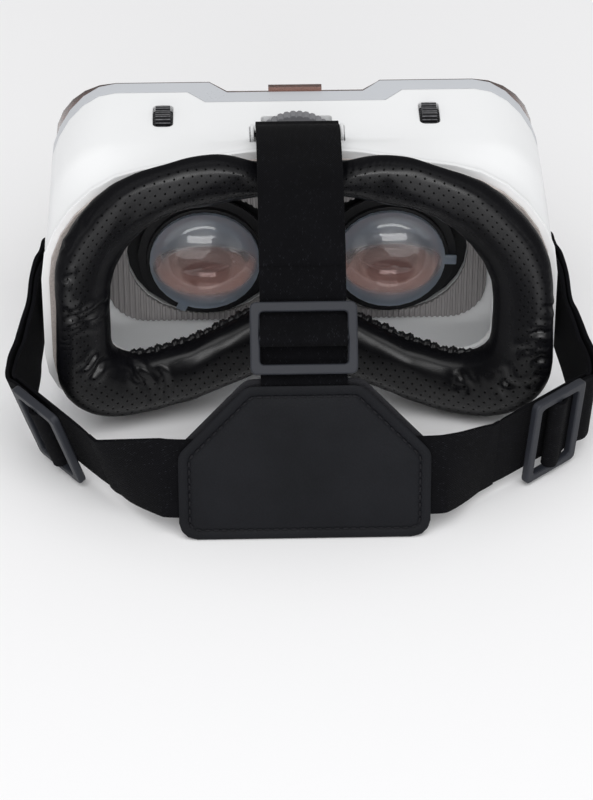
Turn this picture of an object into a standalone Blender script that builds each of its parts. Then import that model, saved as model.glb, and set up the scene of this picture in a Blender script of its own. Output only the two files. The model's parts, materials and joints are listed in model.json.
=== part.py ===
import math

import bmesh
import bpy
from mathutils import Matrix, Vector

# Phone VR viewer. Metres; X to the wearer's right, Y forward to the phone, Z up, floor at Z = 0.

# Fits
GAP = 0.0003
WALL = 0.0024
PLATE = 0.0022

# Moulded shell
SHELL_HALF_WIDTH = 0.090
SHELL_HEIGHT = 0.102
SHELL_TOP_RADIUS = 0.024
SHELL_BASE_RADIUS = 0.018
SHELL_FRONT_Y = 0.017
SHELL_STRAIGHT_Y = -0.018
CORNER_SWEEP = 0.014

# Grey band at the front, with its finger recess
BAND_DEPTH = 0.0072
RECESS_DEPTH = 0.0076
RECESS_HALF_BACK = 0.033
RECESS_HALF_FRONT = 0.025
RECESS_SLANT = 0.0065
CHIN_HEIGHT = 0.0076

# Face opening
RIM_FLARE = 0.0015
RIM_HALF_WIDTH = SHELL_HALF_WIDTH + RIM_FLARE
RIM_LOW = 0.003
RIM_DROP = 0.0005
RIM_HIGH = SHELL_HEIGHT - RIM_DROP
RIM_CROWN = 0.0035
RIM_TOP_RADIUS = 0.036
RIM_LOW_RADIUS = 0.030
FACE_CENTRE_Y = -0.029
FACE_WRAP = 0.021
CUSHION_SIDE = 0.0215
CUSHION_LOW = 0.0210
CUSHION_TOP = 0.0165
OPENING_HALF_WIDTH = RIM_HALF_WIDTH - CUSHION_SIDE
OPENING_LOW = RIM_LOW + CUSHION_LOW
OPENING_HIGH = RIM_HIGH - CUSHION_TOP
OPENING_CROWN = 0.004
OPENING_TOP_RADIUS = 0.030
OPENING_LOW_RADIUS = 0.014
NOSE_HALF_WIDTH = 0.052
NOSE_RISE = 0.018
FACE_GAP = 0.0006
FRAME_LIP = 0.0006
FRAME_THICKNESS = 0.0020
BACKING_THICKNESS = 0.0014
CUSHION_THICKNESS = 0.0125
CUSHION_TUCK = 0.0022

# Lenses and what carries them
LENS_SPACING = 0.068
LENS_RAISE = 0.001
LENS_HEIGHT = SHELL_HEIGHT / 2 + LENS_RAISE
LENS_PLANE_Y = -0.0195
LENS_RADIUS = 0.0203
LENS_EDGE = 0.0015
LENS_BULGE = 0.0060
LENS_BODY_RADIUS = 0.0188
TUBE_INNER_RADIUS = 0.0193
TUBE_OUTER_RADIUS = 0.0214
TUBE_LENGTH = 0.0210
FLANGE_RADIUS = 0.0246
FLANGE_THICKNESS = 0.0014
FLANGE_SETBACK = 0.0022
BOARD_FRONT_Y = -0.0118
BOARD_THICKNESS = 0.0023
LENS_TRAVEL = 0.0035
FOCUS_TRAVEL = 0.0035
OPENING_CLEARANCE = 0.0007
RIB_PITCH = 0.0020
RIB_HEIGHT = 0.0007
RIB_BASE = 0.0011
PANEL_DROP = 0.0285
PANEL_RISE = 0.0295
PANEL_HALF_WIDTH = OPENING_HALF_WIDTH
PANEL_LOW = LENS_HEIGHT - PANEL_DROP
PANEL_HIGH = LENS_HEIGHT + PANEL_RISE
PANEL_RADIUS = 0.014
CARRIAGE_THICKNESS = 0.0020
CARRIAGE_SPACE = 0.0045
CARRIAGE_MARGIN = 0.0046
CARRIAGE_HALF_WIDTH = LENS_SPACING / 2 - CARRIAGE_SPACE
CARRIAGE_HALF_HEIGHT = TUBE_OUTER_RADIUS + CARRIAGE_MARGIN
CARRIAGE_RADIUS = 0.006

# Eye-distance drive
MODULE = 0.001
PINION_TEETH = 10
PRESSURE_ANGLE = math.radians(25.0)
ADDENDUM = 0.8
DEDENDUM = 1.05
BACKLASH = 0.00022
RACK_TEETH = 5
RACK_BACK = 0.0030
AXLE_RADIUS = 0.0015
WHEEL_RADIUS = 0.0163
WHEEL_PROUD = 0.0027
AXLE_HEIGHT = SHELL_HEIGHT + WHEEL_PROUD - WHEEL_RADIUS
WHEEL_THICKNESS = 0.0040
WHEEL_TEETH = 40
WHEEL_TOOTH_DEPTH = 0.0006
WHEEL_Y = -0.0045
BRACKET_HALF_WIDTH = 0.037
BRACKET_HEIGHT = 0.006
GUIDE_LIP = 0.003

# Focus sliders
SLIDER_X = 0.0484
SLIDER_Y = -0.0005
SLIDER_WIDTH = 0.0054
SLIDER_LENGTH = 0.0080
SLIDER_PROUD = 0.0020
SLIDER_RIBS = 3
SLOT_CLEARANCE = 0.0010
RAIL_THICKNESS = 0.0024
RAIL_RISE = 0.0010
RAIL_TOP = LENS_HEIGHT + CARRIAGE_HALF_HEIGHT + RAIL_RISE
PRONG = 0.0018

# Phone bay and door
SEAT_Y = 0.0140
DOOR_INNER_Y = 0.0272
DOOR_WALL = 0.0020
DOOR_CHAMFER = 0.0065
DOOR_SHOULDER = 0.0022
DOOR_INSET = 0.0010
DOOR_LIP_HALF_WIDTH = 0.0098
DOOR_LIP_RISE = 0.0014
DOOR_LIP_THICKNESS = 0.0022
WINDOW_HALF_WIDTH = 0.031
WINDOW_MARGIN = 0.0114
WINDOW_HALF_HEIGHT = LENS_HEIGHT - CHIN_HEIGHT - WINDOW_MARGIN
WINDOW_RADIUS = 0.006
DIVIDER_THICKNESS = 0.0016
DIVIDER_LOW = 0.018
DIVIDER_GAP = 0.0017
DIVIDER_HIGH = AXLE_HEIGHT - WHEEL_RADIUS - DIVIDER_GAP
POST_RADIUS = 0.0036
POST_INSET = 0.012
POST_X = SHELL_HALF_WIDTH - POST_INSET
POST_LOW = 0.015
POST_DROP = 0.016
POST_HIGH = SHELL_HEIGHT - POST_DROP
SCREW_RADIUS = 0.0012
SCREW_HEAD_RADIUS = 0.0025
HINGE_Z = 0.0042
KNUCKLE_RADIUS = 0.0029
KNUCKLE_LENGTH = 0.008
HINGE_X = 0.036
PIN_RADIUS = 0.0014
PAD_HALF_WIDTH = 0.028
PAD_HALF_HEIGHT = 0.006

# Straps, buckles and back pad
STRAP_WIDTH = 0.030
STRAP_THICKNESS = 0.0014
LAYER_GAP = 0.0007
BUCKLE_LENGTH = 0.025
BUCKLE_WIDTH = 0.037
BUCKLE_THICKNESS = 0.0030
BUCKLE_BAR = 0.0034
BUCKLE_RADIUS = 0.0022
CENTRE_BAR_RADIUS = 0.0014
ANCHOR_BAR_RADIUS = 0.0012
ANCHOR_PROUD = 0.0006
ANCHOR_EAR = 0.0012
ANCHOR_EAR_LENGTH = 0.0060
ANCHOR_FOOT = 0.0036
ANCHOR_FOOT_THICKNESS = 0.0016
ANCHOR_SLOT_BACK = 0.0095
SIDE_BAR_Y = -0.0210
SIDE_BAR_Z = 0.0490
TOP_BAR_Y = -0.0121
ANCHOR_FOOT_SETBACK = 0.0002
BACK_PAD_WIDTH = 0.088
BACK_PAD_HEIGHT = 0.0585
BACK_PAD_TOP_WIDTH = 0.040
BACK_PAD_SHOULDER = 0.033
BACK_PAD_RADIUS = 0.0065
BACK_PAD_LEAN = math.radians(10.0)
BACK_PAD_Y = -0.1195
BACK_PAD_Z = 0.0006
BACK_PAD_STRAP_Z = 0.0223
BACK_PAD_BORDER = 0.0038
COVER_THICKNESS = 0.0040
LINING_THICKNESS = 0.0034
STRAP_TUCK = 0.012
TOP_BUCKLE_STEP = Vector((0.0, 0.0063, 0.0140))
# The strap's way down into its slot: distance back from the bar, and height over its lowest point.
RUN_IN = ((0.0125, 0.0049), (0.0095, 0.0036), (0.0060, 0.0014), (0.0030, 0.0003), (0.0002, 0.0))

# Mesh fineness
ARC_STEPS = 6
ROUND_STEPS = 32
SMALL_STEPS = 12
PATH_STEPS = 5

PARTS = None
CUTTERS = None


def reset_scene():
    for item in list(bpy.data.objects):
        bpy.data.objects.remove(item, do_unlink=True)


def new_collection(name):
    collection = bpy.data.collections.new(name)
    bpy.context.scene.collection.children.link(collection)
    return collection


def finish(name, colour, roughness, metallic=0.0):
    material = bpy.data.materials.new(name)
    material.use_nodes = True
    shader = material.node_tree.nodes["Principled BSDF"]
    shader.inputs["Base Color"].default_value = (*colour, 1.0)
    shader.inputs["Roughness"].default_value = roughness
    shader.inputs["Metallic"].default_value = metallic
    return material


WHITE = ((0.90, 0.91, 0.92), 0.35)
PALE_GREY = ((0.60, 0.62, 0.65), 0.40)
BLACK = ((0.015, 0.015, 0.017), 0.45)
RUBBER = ((0.012, 0.012, 0.014), 0.80)
DARK_GREY = ((0.060, 0.064, 0.078), 0.45)
BAFFLE_GREY = ((0.22, 0.22, 0.225), 0.60)
SMOKE = ((0.085, 0.062, 0.052), 0.12)
CLEAR = ((0.85, 0.88, 0.90), 0.05)
LEATHER = ((0.015, 0.015, 0.020), 0.50)
WEBBING = ((0.008, 0.008, 0.011), 0.85)
STEEL = ((0.55, 0.55, 0.57), 0.30, 1.0)


def add_part(name, mesh, look, location=(0.0, 0.0, 0.0), rotation=(0.0, 0.0, 0.0)):
    part = bpy.data.objects.new(name, mesh)
    part.location = location
    part.rotation_euler = rotation
    mesh.materials.clear()
    mesh.materials.append(finish(name, *look))
    PARTS.objects.link(part)
    return part


def add_cutter(name, mesh, location=(0.0, 0.0, 0.0), rotation=(0.0, 0.0, 0.0)):
    cutter = bpy.data.objects.new(name, mesh)
    cutter.location = location
    cutter.rotation_euler = rotation
    cutter.hide_render = True
    cutter.display_type = 'WIRE'
    CUTTERS.objects.link(cutter)
    return cutter


def combine(part, tool, operation, solver='EXACT'):
    boolean = part.modifiers.new(tool.name, 'BOOLEAN')
    boolean.operation = operation
    boolean.solver = solver
    boolean.object = tool


def shade_round(mesh, angle=math.radians(40)):
    mesh.shade_smooth()
    mesh.set_sharp_from_angle(angle=angle)


def box_mesh(name, low, high):
    body = bmesh.new()
    bmesh.ops.create_cube(body, size=1.0)
    low = Vector(low)
    high = Vector(high)
    size = high - low
    bmesh.ops.scale(body, vec=size, verts=body.verts)
    bmesh.ops.translate(body, vec=(low + high) / 2, verts=body.verts)
    return mesh_from(body, name)


def cylinder_mesh(name, radius, length, steps=SMALL_STEPS):
    body = bmesh.new()
    bmesh.ops.create_cone(body, cap_ends=True, segments=steps, radius1=radius, radius2=radius, depth=length)
    return mesh_from(body, name)


def mesh_from(body, name):
    bmesh.ops.recalc_face_normals(body, faces=body.faces)
    mesh = bpy.data.meshes.new(name)
    body.to_mesh(mesh)
    body.free()
    return mesh


def loft_mesh(name, rings, wrap=False, caps=False):
    body = bmesh.new()
    rows = [[body.verts.new(point) for point in ring] for ring in rings]
    pairs = list(zip(rows, rows[1:]))
    if wrap:
        pairs.append((rows[-1], rows[0]))
    count = len(rings[0])
    for first, second in pairs:
        for index in range(count):
            after = (index + 1) % count
            body.faces.new((first[index], first[after], second[after], second[index]))
    if caps:
        body.faces.new(rows[0])
        body.faces.new(rows[-1])
    return mesh_from(body, name)


def plate_mesh(name, outlines, thickness, edge=0.0):
    curve = bpy.data.curves.new(name, 'CURVE')
    curve.dimensions = '2D'
    curve.fill_mode = 'BOTH'
    curve.extrude = thickness / 2 - edge
    curve.bevel_depth = edge
    curve.bevel_resolution = 0
    curve.offset = -edge
    for outline in outlines:
        spline = curve.splines.new('POLY')
        spline.points.add(len(outline) - 1)
        spline.use_cyclic_u = True
        for point, (across, up) in zip(spline.points, outline):
            point.co = (across, up, 0.0, 1.0)
    drawn = bpy.data.objects.new(name, curve)
    bpy.context.scene.collection.objects.link(drawn)
    bpy.context.view_layer.update()
    mesh = bpy.data.meshes.new_from_object(drawn.evaluated_get(bpy.context.evaluated_depsgraph_get()))
    bpy.data.objects.remove(drawn, do_unlink=True)
    bpy.data.curves.remove(curve)
    body = bmesh.new()
    body.from_mesh(mesh)
    bpy.data.meshes.remove(mesh)
    bmesh.ops.remove_doubles(body, verts=body.verts, dist=0.00001)
    return mesh_from(body, name)


def turned(name, profile, look, location, steps=ROUND_STEPS):
    mesh = bpy.data.meshes.new(name)
    count = len(profile)
    points = [(radius, 0.0, height) for radius, height in profile]
    on_axis = profile[0][0] == 0.0
    last = count - 1 if on_axis else count
    edges = [(index, (index + 1) % count) for index in range(last)]
    mesh.from_pydata(points, edges, [])
    part = add_part(name, mesh, look, location, (math.pi / 2, 0.0, 0.0))
    screw = part.modifiers.new("turned", 'SCREW')
    screw.steps = steps
    screw.render_steps = steps
    screw.use_merge_vertices = True
    screw.merge_threshold = 0.00001
    return part


def arc(centre, radius, start, end, steps=ARC_STEPS):
    points = []
    for step in range(steps + 1):
        angle = math.radians(start + (end - start) * step / steps)
        points.append((centre[0] + radius * math.cos(angle), centre[1] + radius * math.sin(angle)))
    return points


def rounded_polygon(corners, radius, steps=4):
    outline = []
    count = len(corners)
    for index in range(count):
        corner = Vector(corners[index])
        before = (Vector(corners[index - 1]) - corner).normalized()
        after = (Vector(corners[(index + 1) % count]) - corner).normalized()
        half = before.angle(after) / 2
        reach = radius / math.tan(half)
        start = corner + before * reach
        end = corner + after * reach
        centre = corner + (before + after).normalized() * radius / math.sin(half)
        sweep = math.pi - 2 * half
        turn = 1.0 if before.x * after.y - before.y * after.x < 0 else -1.0
        for step in range(steps + 1):
            spoke = Matrix.Rotation(turn * sweep * step / steps, 2) @ (start - centre)
            outline.append(tuple(centre + spoke))
        outline[-1] = tuple(end)
    return outline


def rectangle(half_width, low, high, radius, steps=4, centre_x=0.0):
    left = centre_x - half_width
    right = centre_x + half_width
    return rounded_polygon([(left, low), (right, low), (right, high), (left, high)], radius, steps)


def obround(centre_x, centre_z, radius, reach, steps=12):
    right = arc((centre_x + reach, centre_z), radius, -90, 90, steps)
    left = arc((centre_x - reach, centre_z), radius, 90, 270, steps)
    return right + left


def ease(share):
    share = max(0.0, min(1.0, share))
    return share * share * (3.0 - 2.0 * share)


def section(half_width, low, high, low_radius, high_radius, crown=0.0, nose_rise=0.0, top_stops=()):
    """Closed outline in X and Z from the bottom centre up the right side and down the left."""
    flat = half_width - low_radius
    stops = [NOSE_HALF_WIDTH * share for share in (0.0, 0.25, 0.5, 0.75, 1.0)]
    stops += [(NOSE_HALF_WIDTH + flat) / 2]
    half = [(x, low + nose_rise * math.cos(math.pi * min(x / NOSE_HALF_WIDTH, 1.0) / 2) ** 2) for x in stops]
    half += arc((flat, low + low_radius), low_radius, -90, 0)
    half += arc((half_width - high_radius, high - high_radius), high_radius, 0, 90)
    top = half_width - high_radius
    stops = top_stops or [top * share for share in (0.82, 0.6, 0.4, 0.2)]
    half += [(x, high + crown * math.cos(math.pi * x / top / 2) ** 2) for x in stops]
    half.append((0.0, high + crown))
    return half + [(-x, z) for x, z in reversed(half[1:-1])]


def face_y(x):
    return FACE_CENTRE_Y - FACE_WRAP * (x / RIM_HALF_WIDTH) ** 2


def sweep_back(x):
    start = SHELL_HALF_WIDTH - SHELL_TOP_RADIUS
    return CORNER_SWEEP * (max(0.0, abs(x) - start) / SHELL_TOP_RADIUS) ** 2


def recess_share(x, z, half_width):
    if z < SHELL_HEIGHT / 2:
        return 0.0
    return 1.0 - max(0.0, min(1.0, (abs(x) - half_width) / RECESS_SLANT))


def recess_stops(half_width, top):
    edge = half_width + RECESS_SLANT
    return [(top + edge) / 2, edge, half_width, half_width / 2]


def shell_section(inset, low=None, recess_half=RECESS_HALF_BACK):
    top = SHELL_HALF_WIDTH - SHELL_TOP_RADIUS
    floor = inset if low is None else low
    return section(SHELL_HALF_WIDTH - inset, floor, SHELL_HEIGHT - inset, SHELL_BASE_RADIUS - inset,
                   SHELL_TOP_RADIUS - inset, top_stops=recess_stops(recess_half, top))


def rim_section(outset=0.0):
    return section(RIM_HALF_WIDTH + outset, RIM_LOW - outset, RIM_HIGH + outset, RIM_LOW_RADIUS + outset,
                   RIM_TOP_RADIUS + outset, RIM_CROWN, NOSE_RISE)


def opening_section(inset=0.0):
    return section(OPENING_HALF_WIDTH - inset, OPENING_LOW + inset, OPENING_HIGH - inset,
                   OPENING_LOW_RADIUS, OPENING_TOP_RADIUS, OPENING_CROWN, NOSE_RISE)


def band_edge(outline, base_y, recess_half):
    """Ring on the outline whose Y follows the band's outer edge, point for point."""
    edge = []
    for (x, z), (outer_x, outer_z) in zip(outline, shell_section(0.0, None, recess_half)):
        y = base_y - sweep_back(outer_x) - RECESS_DEPTH * recess_share(outer_x, outer_z, recess_half)
        edge.append((x, y, z))
    return edge


def blend_rings(first, second, share):
    bent = ease(share)
    ring = []
    for (ax, ay, az), (bx, by, bz) in zip(first, second):
        ring.append((ax + (bx - ax) * bent, ay + (by - ay) * share, az + (bz - az) * bent))
    return ring


def add_shell():
    outline = shell_section(0.0)
    front = band_edge(outline, SHELL_FRONT_Y, RECESS_HALF_BACK)
    straight = [(x, SHELL_STRAIGHT_Y, z) for x, z in outline]
    rim = [(x, face_y(x), z) for x, z in rim_section()]
    land = [(x, y + WALL, z) for x, y, z in rim]
    rings = [front, straight, blend_rings(straight, land, 0.35), blend_rings(straight, land, 0.7), land, rim]
    shell = add_part("main_shell", loft_mesh("main_shell", rings), WHITE)
    wall = shell.modifiers.new("wall", 'SOLIDIFY')
    wall.thickness = WALL
    wall.offset = -1.0
    wall.use_even_offset = True
    slot_half_x = SLIDER_WIDTH / 2 + SLOT_CLEARANCE
    slot_half_y = SLIDER_LENGTH / 2 + FOCUS_TRAVEL + SLOT_CLEARANCE / 2
    for side, label in ((-1, "left"), (1, "right")):
        corners = [(-slot_half_x, -slot_half_y), (slot_half_x, -slot_half_y),
                   (slot_half_x, slot_half_y), (-slot_half_x, slot_half_y)]
        outline = rounded_polygon(corners, slot_half_x * 0.6)
        cutter = add_cutter(label + " slider slot", plate_mesh("slot", [outline], WALL * 4),
                            (side * SLIDER_X, SLIDER_Y, SHELL_HEIGHT))
        combine(shell, cutter, 'DIFFERENCE')
    reach = math.sqrt(WHEEL_RADIUS ** 2 - (SHELL_HEIGHT - WALL - AXLE_HEIGHT) ** 2) + SLOT_CLEARANCE
    half = WHEEL_THICKNESS / 2 + SLOT_CLEARANCE
    outline = rounded_polygon([(-reach, -half), (reach, -half), (reach, half), (-reach, half)], half * 0.5)
    cutter = add_cutter("wheel slot", plate_mesh("wheel slot", [outline], WALL * 4),
                        (0.0, WHEEL_Y, SHELL_HEIGHT))
    combine(shell, cutter, 'DIFFERENCE')
    for label, spec in strap_specs().items():
        front = ANCHOR_BAR_RADIUS + STRAP_THICKNESS + 2 * GAP
        half = anchor_reach() + ANCHOR_EAR + GAP
        depth = WALL * 2
        slot = box_mesh(label + " strap slot", (-ANCHOR_SLOT_BACK, -half, -depth), (front, half, depth))
        cutter = add_cutter(label + " strap slot", slot)
        cutter.matrix_world = anchor_frame(spec)
        combine(shell, cutter, 'DIFFERENCE')


def face_ring(outline, depth, guide=None):
    """Ring set back from the face's curve, taken at the outline's own X or at a guide outline's."""
    return [(x, face_y(guide_x) - depth, z) for (x, z), (guide_x, _) in zip(outline, guide or outline)]


def add_face_ring(name, outer, inner, start, end, look):
    rings = [face_ring(outer, start), face_ring(outer, end), face_ring(inner, end), face_ring(inner, start)]
    add_part(name, loft_mesh(name, rings, wrap=True), look)


def add_face_parts():
    start = GAP
    end = start + FRAME_THICKNESS
    lip = rim_section(FRAME_LIP)
    seat = rim_section(-WALL - FRAME_LIP)
    inner = opening_section()
    rings = [face_ring(seat, start, lip), face_ring(lip, start), face_ring(lip, end), face_ring(inner, end),
             face_ring(inner, start)]
    add_part("face_frame", loft_mesh("face_frame", rings, wrap=True), WHITE)
    outer = rim_section(-CUSHION_TUCK)
    inner = opening_section(-CUSHION_TUCK)
    start = end + FACE_GAP
    end = start + BACKING_THICKNESS
    add_face_ring("cushion_backing", outer, inner, start, end, BLACK)
    add_cushion(end + FACE_GAP)


def add_cushion(start):
    outer = rim_section(-CUSHION_TUCK / 2)
    inner = opening_section(CUSHION_TUCK / 2)
    # Share of the way from outer to inner edge, and share of the thickness: drawn-in sides, crowned face.
    profile = ((0.06, 0.0), (0.01, 0.22), (0.0, 0.55), (0.08, 0.84), (0.28, 0.98), (0.5, 1.0),
               (0.72, 0.98), (0.92, 0.84), (1.0, 0.55), (0.98, 0.22), (0.92, 0.0))
    rings = []
    for across, height in profile:
        ring = []
        for (ox, oz), (ix, iz) in zip(outer, inner):
            x = ox + (ix - ox) * across
            z = oz + (iz - oz) * across
            ring.append((x, face_y(x) - start - CUSHION_THICKNESS * height, z))
        rings.append(ring)
    mesh = loft_mesh("face_cushion", rings, wrap=True)
    shade_round(mesh)
    add_part("face_cushion", mesh, LEATHER)


def add_bezel():
    back = SHELL_FRONT_Y + GAP
    front = SHELL_FRONT_Y + BAND_DEPTH
    outer_back = band_edge(shell_section(0.0), back, RECESS_HALF_BACK)
    outer_front = band_edge(shell_section(0.0, None, RECESS_HALF_FRONT), front, RECESS_HALF_FRONT)
    inner_front = band_edge(shell_section(WALL, CHIN_HEIGHT, RECESS_HALF_FRONT), front, RECESS_HALF_FRONT)
    inner_back = band_edge(shell_section(WALL, CHIN_HEIGHT), back, RECESS_HALF_BACK)
    rings = [outer_back, outer_front, inner_front, inner_back]
    bezel = add_part("front_bezel", loft_mesh("front_bezel", rings, wrap=True), PALE_GREY)
    knuckle = KNUCKLE_LENGTH / 2
    for side, label in ((-1, "left"), (1, "right")):
        centre = (side * (HINGE_X + knuckle), hinge_y(), HINGE_Z)
        web_low = (front - BAND_DEPTH / 2, HINGE_Z - KNUCKLE_RADIUS * 0.7)
        web_high = (hinge_y(), HINGE_Z + KNUCKLE_RADIUS / 2)
        add_knuckle(bezel, label + " fixed knuckle", centre, web_low, web_high)


def hinge_y():
    return SHELL_FRONT_Y + BAND_DEPTH + KNUCKLE_RADIUS + 2 * GAP


def add_knuckle(part, label, centre, web_low, web_high):
    lying = (0.0, math.pi / 2, 0.0)
    barrel = add_cutter(label, cylinder_mesh(label, KNUCKLE_RADIUS, KNUCKLE_LENGTH), centre, lying)
    combine(part, barrel, 'UNION', 'MANIFOLD')
    half = KNUCKLE_LENGTH / 2 - GAP
    low = (centre[0] - half, web_low[0], web_low[1])
    high = (centre[0] + half, web_high[0], web_high[1])
    web = add_cutter(label + " web", box_mesh(label + " web", low, high))
    combine(part, web, 'UNION', 'MANIFOLD')
    hole = add_cutter(label + " hole", cylinder_mesh(label + " hole", PIN_RADIUS + GAP, KNUCKLE_LENGTH * 2),
                      centre, lying)
    combine(part, hole, 'DIFFERENCE', 'MANIFOLD')


def add_door():
    root = bpy.data.objects.new("door_hinge", None)
    root.location = (0.0, hinge_y(), HINGE_Z)
    PARTS.objects.link(root)
    low = CHIN_HEIGHT + GAP
    outline = shell_section(DOOR_INSET, low, RECESS_HALF_FRONT)
    inner = shell_section(DOOR_INSET + DOOR_CHAMFER, low + DOOR_CHAMFER, RECESS_HALF_FRONT)
    back = []
    for x, y, z in band_edge(outline, SHELL_FRONT_Y + BAND_DEPTH + 2 * GAP, RECESS_HALF_FRONT):
        side = recess_share(x, z, RECESS_HALF_FRONT + RECESS_SLANT)
        floor = recess_share(x, z, RECESS_HALF_FRONT)
        back.append((x, y + DOOR_WALL * (0.6 * side + 0.4 * floor), z))
    shoulder = []
    for x, z in outline:
        scoop = recess_share(x, z, RECESS_HALF_FRONT)
        shoulder.append((x, SHELL_FRONT_Y + BAND_DEPTH + DOOR_SHOULDER, z - DOOR_CHAMFER * scoop))
    face = []
    for x, z in inner:
        scoop = recess_share(x, z, RECESS_HALF_FRONT)
        face.append((x, DOOR_INNER_Y + DOOR_WALL, z - DOOR_CHAMFER / 2 * scoop))
    mesh = loft_mesh("front_door", [back, shoulder, face])
    body = bmesh.new()
    body.from_mesh(mesh)
    rim = [edge for edge in body.edges if edge.is_boundary
           and all(vert.co.y > DOOR_INNER_Y for vert in edge.verts)]
    bmesh.ops.contextual_create(body, geom=rim)
    bmesh.ops.recalc_face_normals(body, faces=body.faces)
    body.to_mesh(mesh)
    body.free()
    door = add_part("front_door", mesh, SMOKE)
    wall = door.modifiers.new("wall", 'SOLIDIFY')
    wall.thickness = DOOR_WALL
    wall.offset = -1.0
    wall.use_even_offset = True
    lip_y = SHELL_FRONT_Y + BAND_DEPTH - RECESS_DEPTH + 2 * GAP
    lip = box_mesh("finger lip", (-DOOR_LIP_HALF_WIDTH, lip_y, SHELL_HEIGHT - DOOR_CHAMFER * 0.7),
                   (DOOR_LIP_HALF_WIDTH, lip_y + DOOR_LIP_THICKNESS, SHELL_HEIGHT + DOOR_LIP_RISE))
    combine(door, add_cutter("finger lip", lip), 'UNION')
    for side, label in ((-1, "left"), (1, "right")):
        inner_end = HINGE_X + KNUCKLE_LENGTH + GAP
        centre = (side * (inner_end + KNUCKLE_LENGTH / 2), hinge_y(), HINGE_Z)
        add_knuckle(door, label + " door knuckle", centre, (hinge_y() - KNUCKLE_RADIUS * 0.8, HINGE_Z),
                    (hinge_y() + KNUCKLE_RADIUS * 0.6, low + DOOR_WALL / 2))
        length = 2 * KNUCKLE_LENGTH + GAP
        add_part(label + "_hinge_pin", cylinder_mesh("pin", PIN_RADIUS, length), STEEL,
                 (side * (HINGE_X + length / 2), hinge_y(), HINGE_Z), (0.0, math.pi / 2, 0.0))
        add_door_pad(side, label, root)
    hang_on(door, root)


def hang_on(part, root):
    bpy.context.view_layer.update()
    part.parent = root
    part.matrix_parent_inverse = root.matrix_world.inverted()


def add_door_pad(side, label, root):
    thickness = (DOOR_INNER_Y - SEAT_Y) * 0.2
    outline = rectangle(PAD_HALF_WIDTH, -PAD_HALF_HEIGHT, PAD_HALF_HEIGHT, PAD_HALF_HEIGHT * 0.5)
    pad = add_part(label + "_door_pad", plate_mesh("door pad", [outline], thickness), RUBBER,
                   (side * LENS_SPACING / 2, DOOR_INNER_Y - GAP - thickness / 2, LENS_HEIGHT),
                   (math.pi / 2, 0.0, 0.0))
    hang_on(pad, root)


def add_window_frame():
    inset = WALL + GAP
    half_width = SHELL_HALF_WIDTH - DOOR_INSET - DOOR_WALL - 3 * GAP
    outer = section(half_width, CHIN_HEIGHT + GAP, SHELL_HEIGHT - inset, SHELL_BASE_RADIUS, SHELL_TOP_RADIUS)
    windows = []
    for side in (-1, 1):
        windows.append(rectangle(WINDOW_HALF_WIDTH, LENS_HEIGHT - WINDOW_HALF_HEIGHT,
                                 LENS_HEIGHT + WINDOW_HALF_HEIGHT, WINDOW_RADIUS, 3, side * LENS_SPACING / 2))
    holes = [circle(x, z, SCREW_RADIUS + GAP) for x, z in post_places()]
    frame = plate_mesh("window_frame", [outer] + windows + holes, PLATE)
    add_part("window_frame", frame, BLACK, (0.0, SEAT_Y - PLATE / 2, 0.0), (math.pi / 2, 0.0, 0.0))
    for number, (x, z) in enumerate(post_places(), 1):
        add_screw(number, x, z)
    half = DIVIDER_THICKNESS / 2
    back = guide_front() + GAP
    front = SEAT_Y - PLATE - GAP
    divider = box_mesh("optical_divider", (-half, back, DIVIDER_LOW), (half, front, DIVIDER_HIGH))
    add_part("optical_divider", divider, BLACK)


def circle(x, z, radius, steps=SMALL_STEPS):
    return arc((x, z), radius, 0, 360 - 360 / steps, steps - 1)


def post_places():
    return [(x, z) for x in (-POST_X, POST_X) for z in (POST_LOW, POST_HIGH)]


def add_screw(number, x, z):
    depth = PLATE * 3
    head = PLATE * 0.7
    slot = head * 0.5
    profile = [(0.0, head), (SCREW_HEAD_RADIUS * 0.6, head * 0.95), (SCREW_HEAD_RADIUS, slot),
               (SCREW_HEAD_RADIUS, 0.0), (SCREW_RADIUS, 0.0), (SCREW_RADIUS, -depth), (0.0, -depth)]
    screw = turned("frame_screw_%d" % number, profile, STEEL, (x, SEAT_Y + GAP, z), SMALL_STEPS)
    screw.rotation_euler = (-math.pi / 2, 0.0, 0.0)


def add_lens_board():
    inset = WALL + GAP
    outer = shell_section(inset)
    openings = lens_openings()
    axle = circle(0.0, AXLE_HEIGHT, AXLE_RADIUS + GAP)
    mesh = plate_mesh("lens_board", [outer] + openings + [axle], BOARD_THICKNESS)
    board = add_part("lens_board", mesh, WHITE, (0.0, BOARD_FRONT_Y - BOARD_THICKNESS / 2, 0.0),
                     (math.pi / 2, 0.0, 0.0))
    length = SEAT_Y - PLATE - GAP - BOARD_FRONT_Y
    for number, (x, z) in enumerate(post_places(), 1):
        middle = (x, BOARD_FRONT_Y + (length - BOARD_THICKNESS / 2) / 2, z)
        pin = cylinder_mesh("post", POST_RADIUS, length + BOARD_THICKNESS / 2)
        post = add_cutter("post %d" % number, pin, middle, (math.pi / 2, 0.0, 0.0))
        combine(board, post, 'UNION', 'MANIFOLD')
        depth = PLATE * 3
        hole = add_cutter("post hole %d" % number, cylinder_mesh("hole", SCREW_RADIUS + GAP, depth * 2),
                          (x, SEAT_Y - PLATE - GAP, z), (math.pi / 2, 0.0, 0.0))
        combine(board, hole, 'DIFFERENCE', 'MANIFOLD')


def lens_openings():
    radius = FLANGE_RADIUS + OPENING_CLEARANCE
    return [obround(side * LENS_SPACING / 2, LENS_HEIGHT, radius, LENS_TRAVEL) for side in (-1, 1)]


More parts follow.
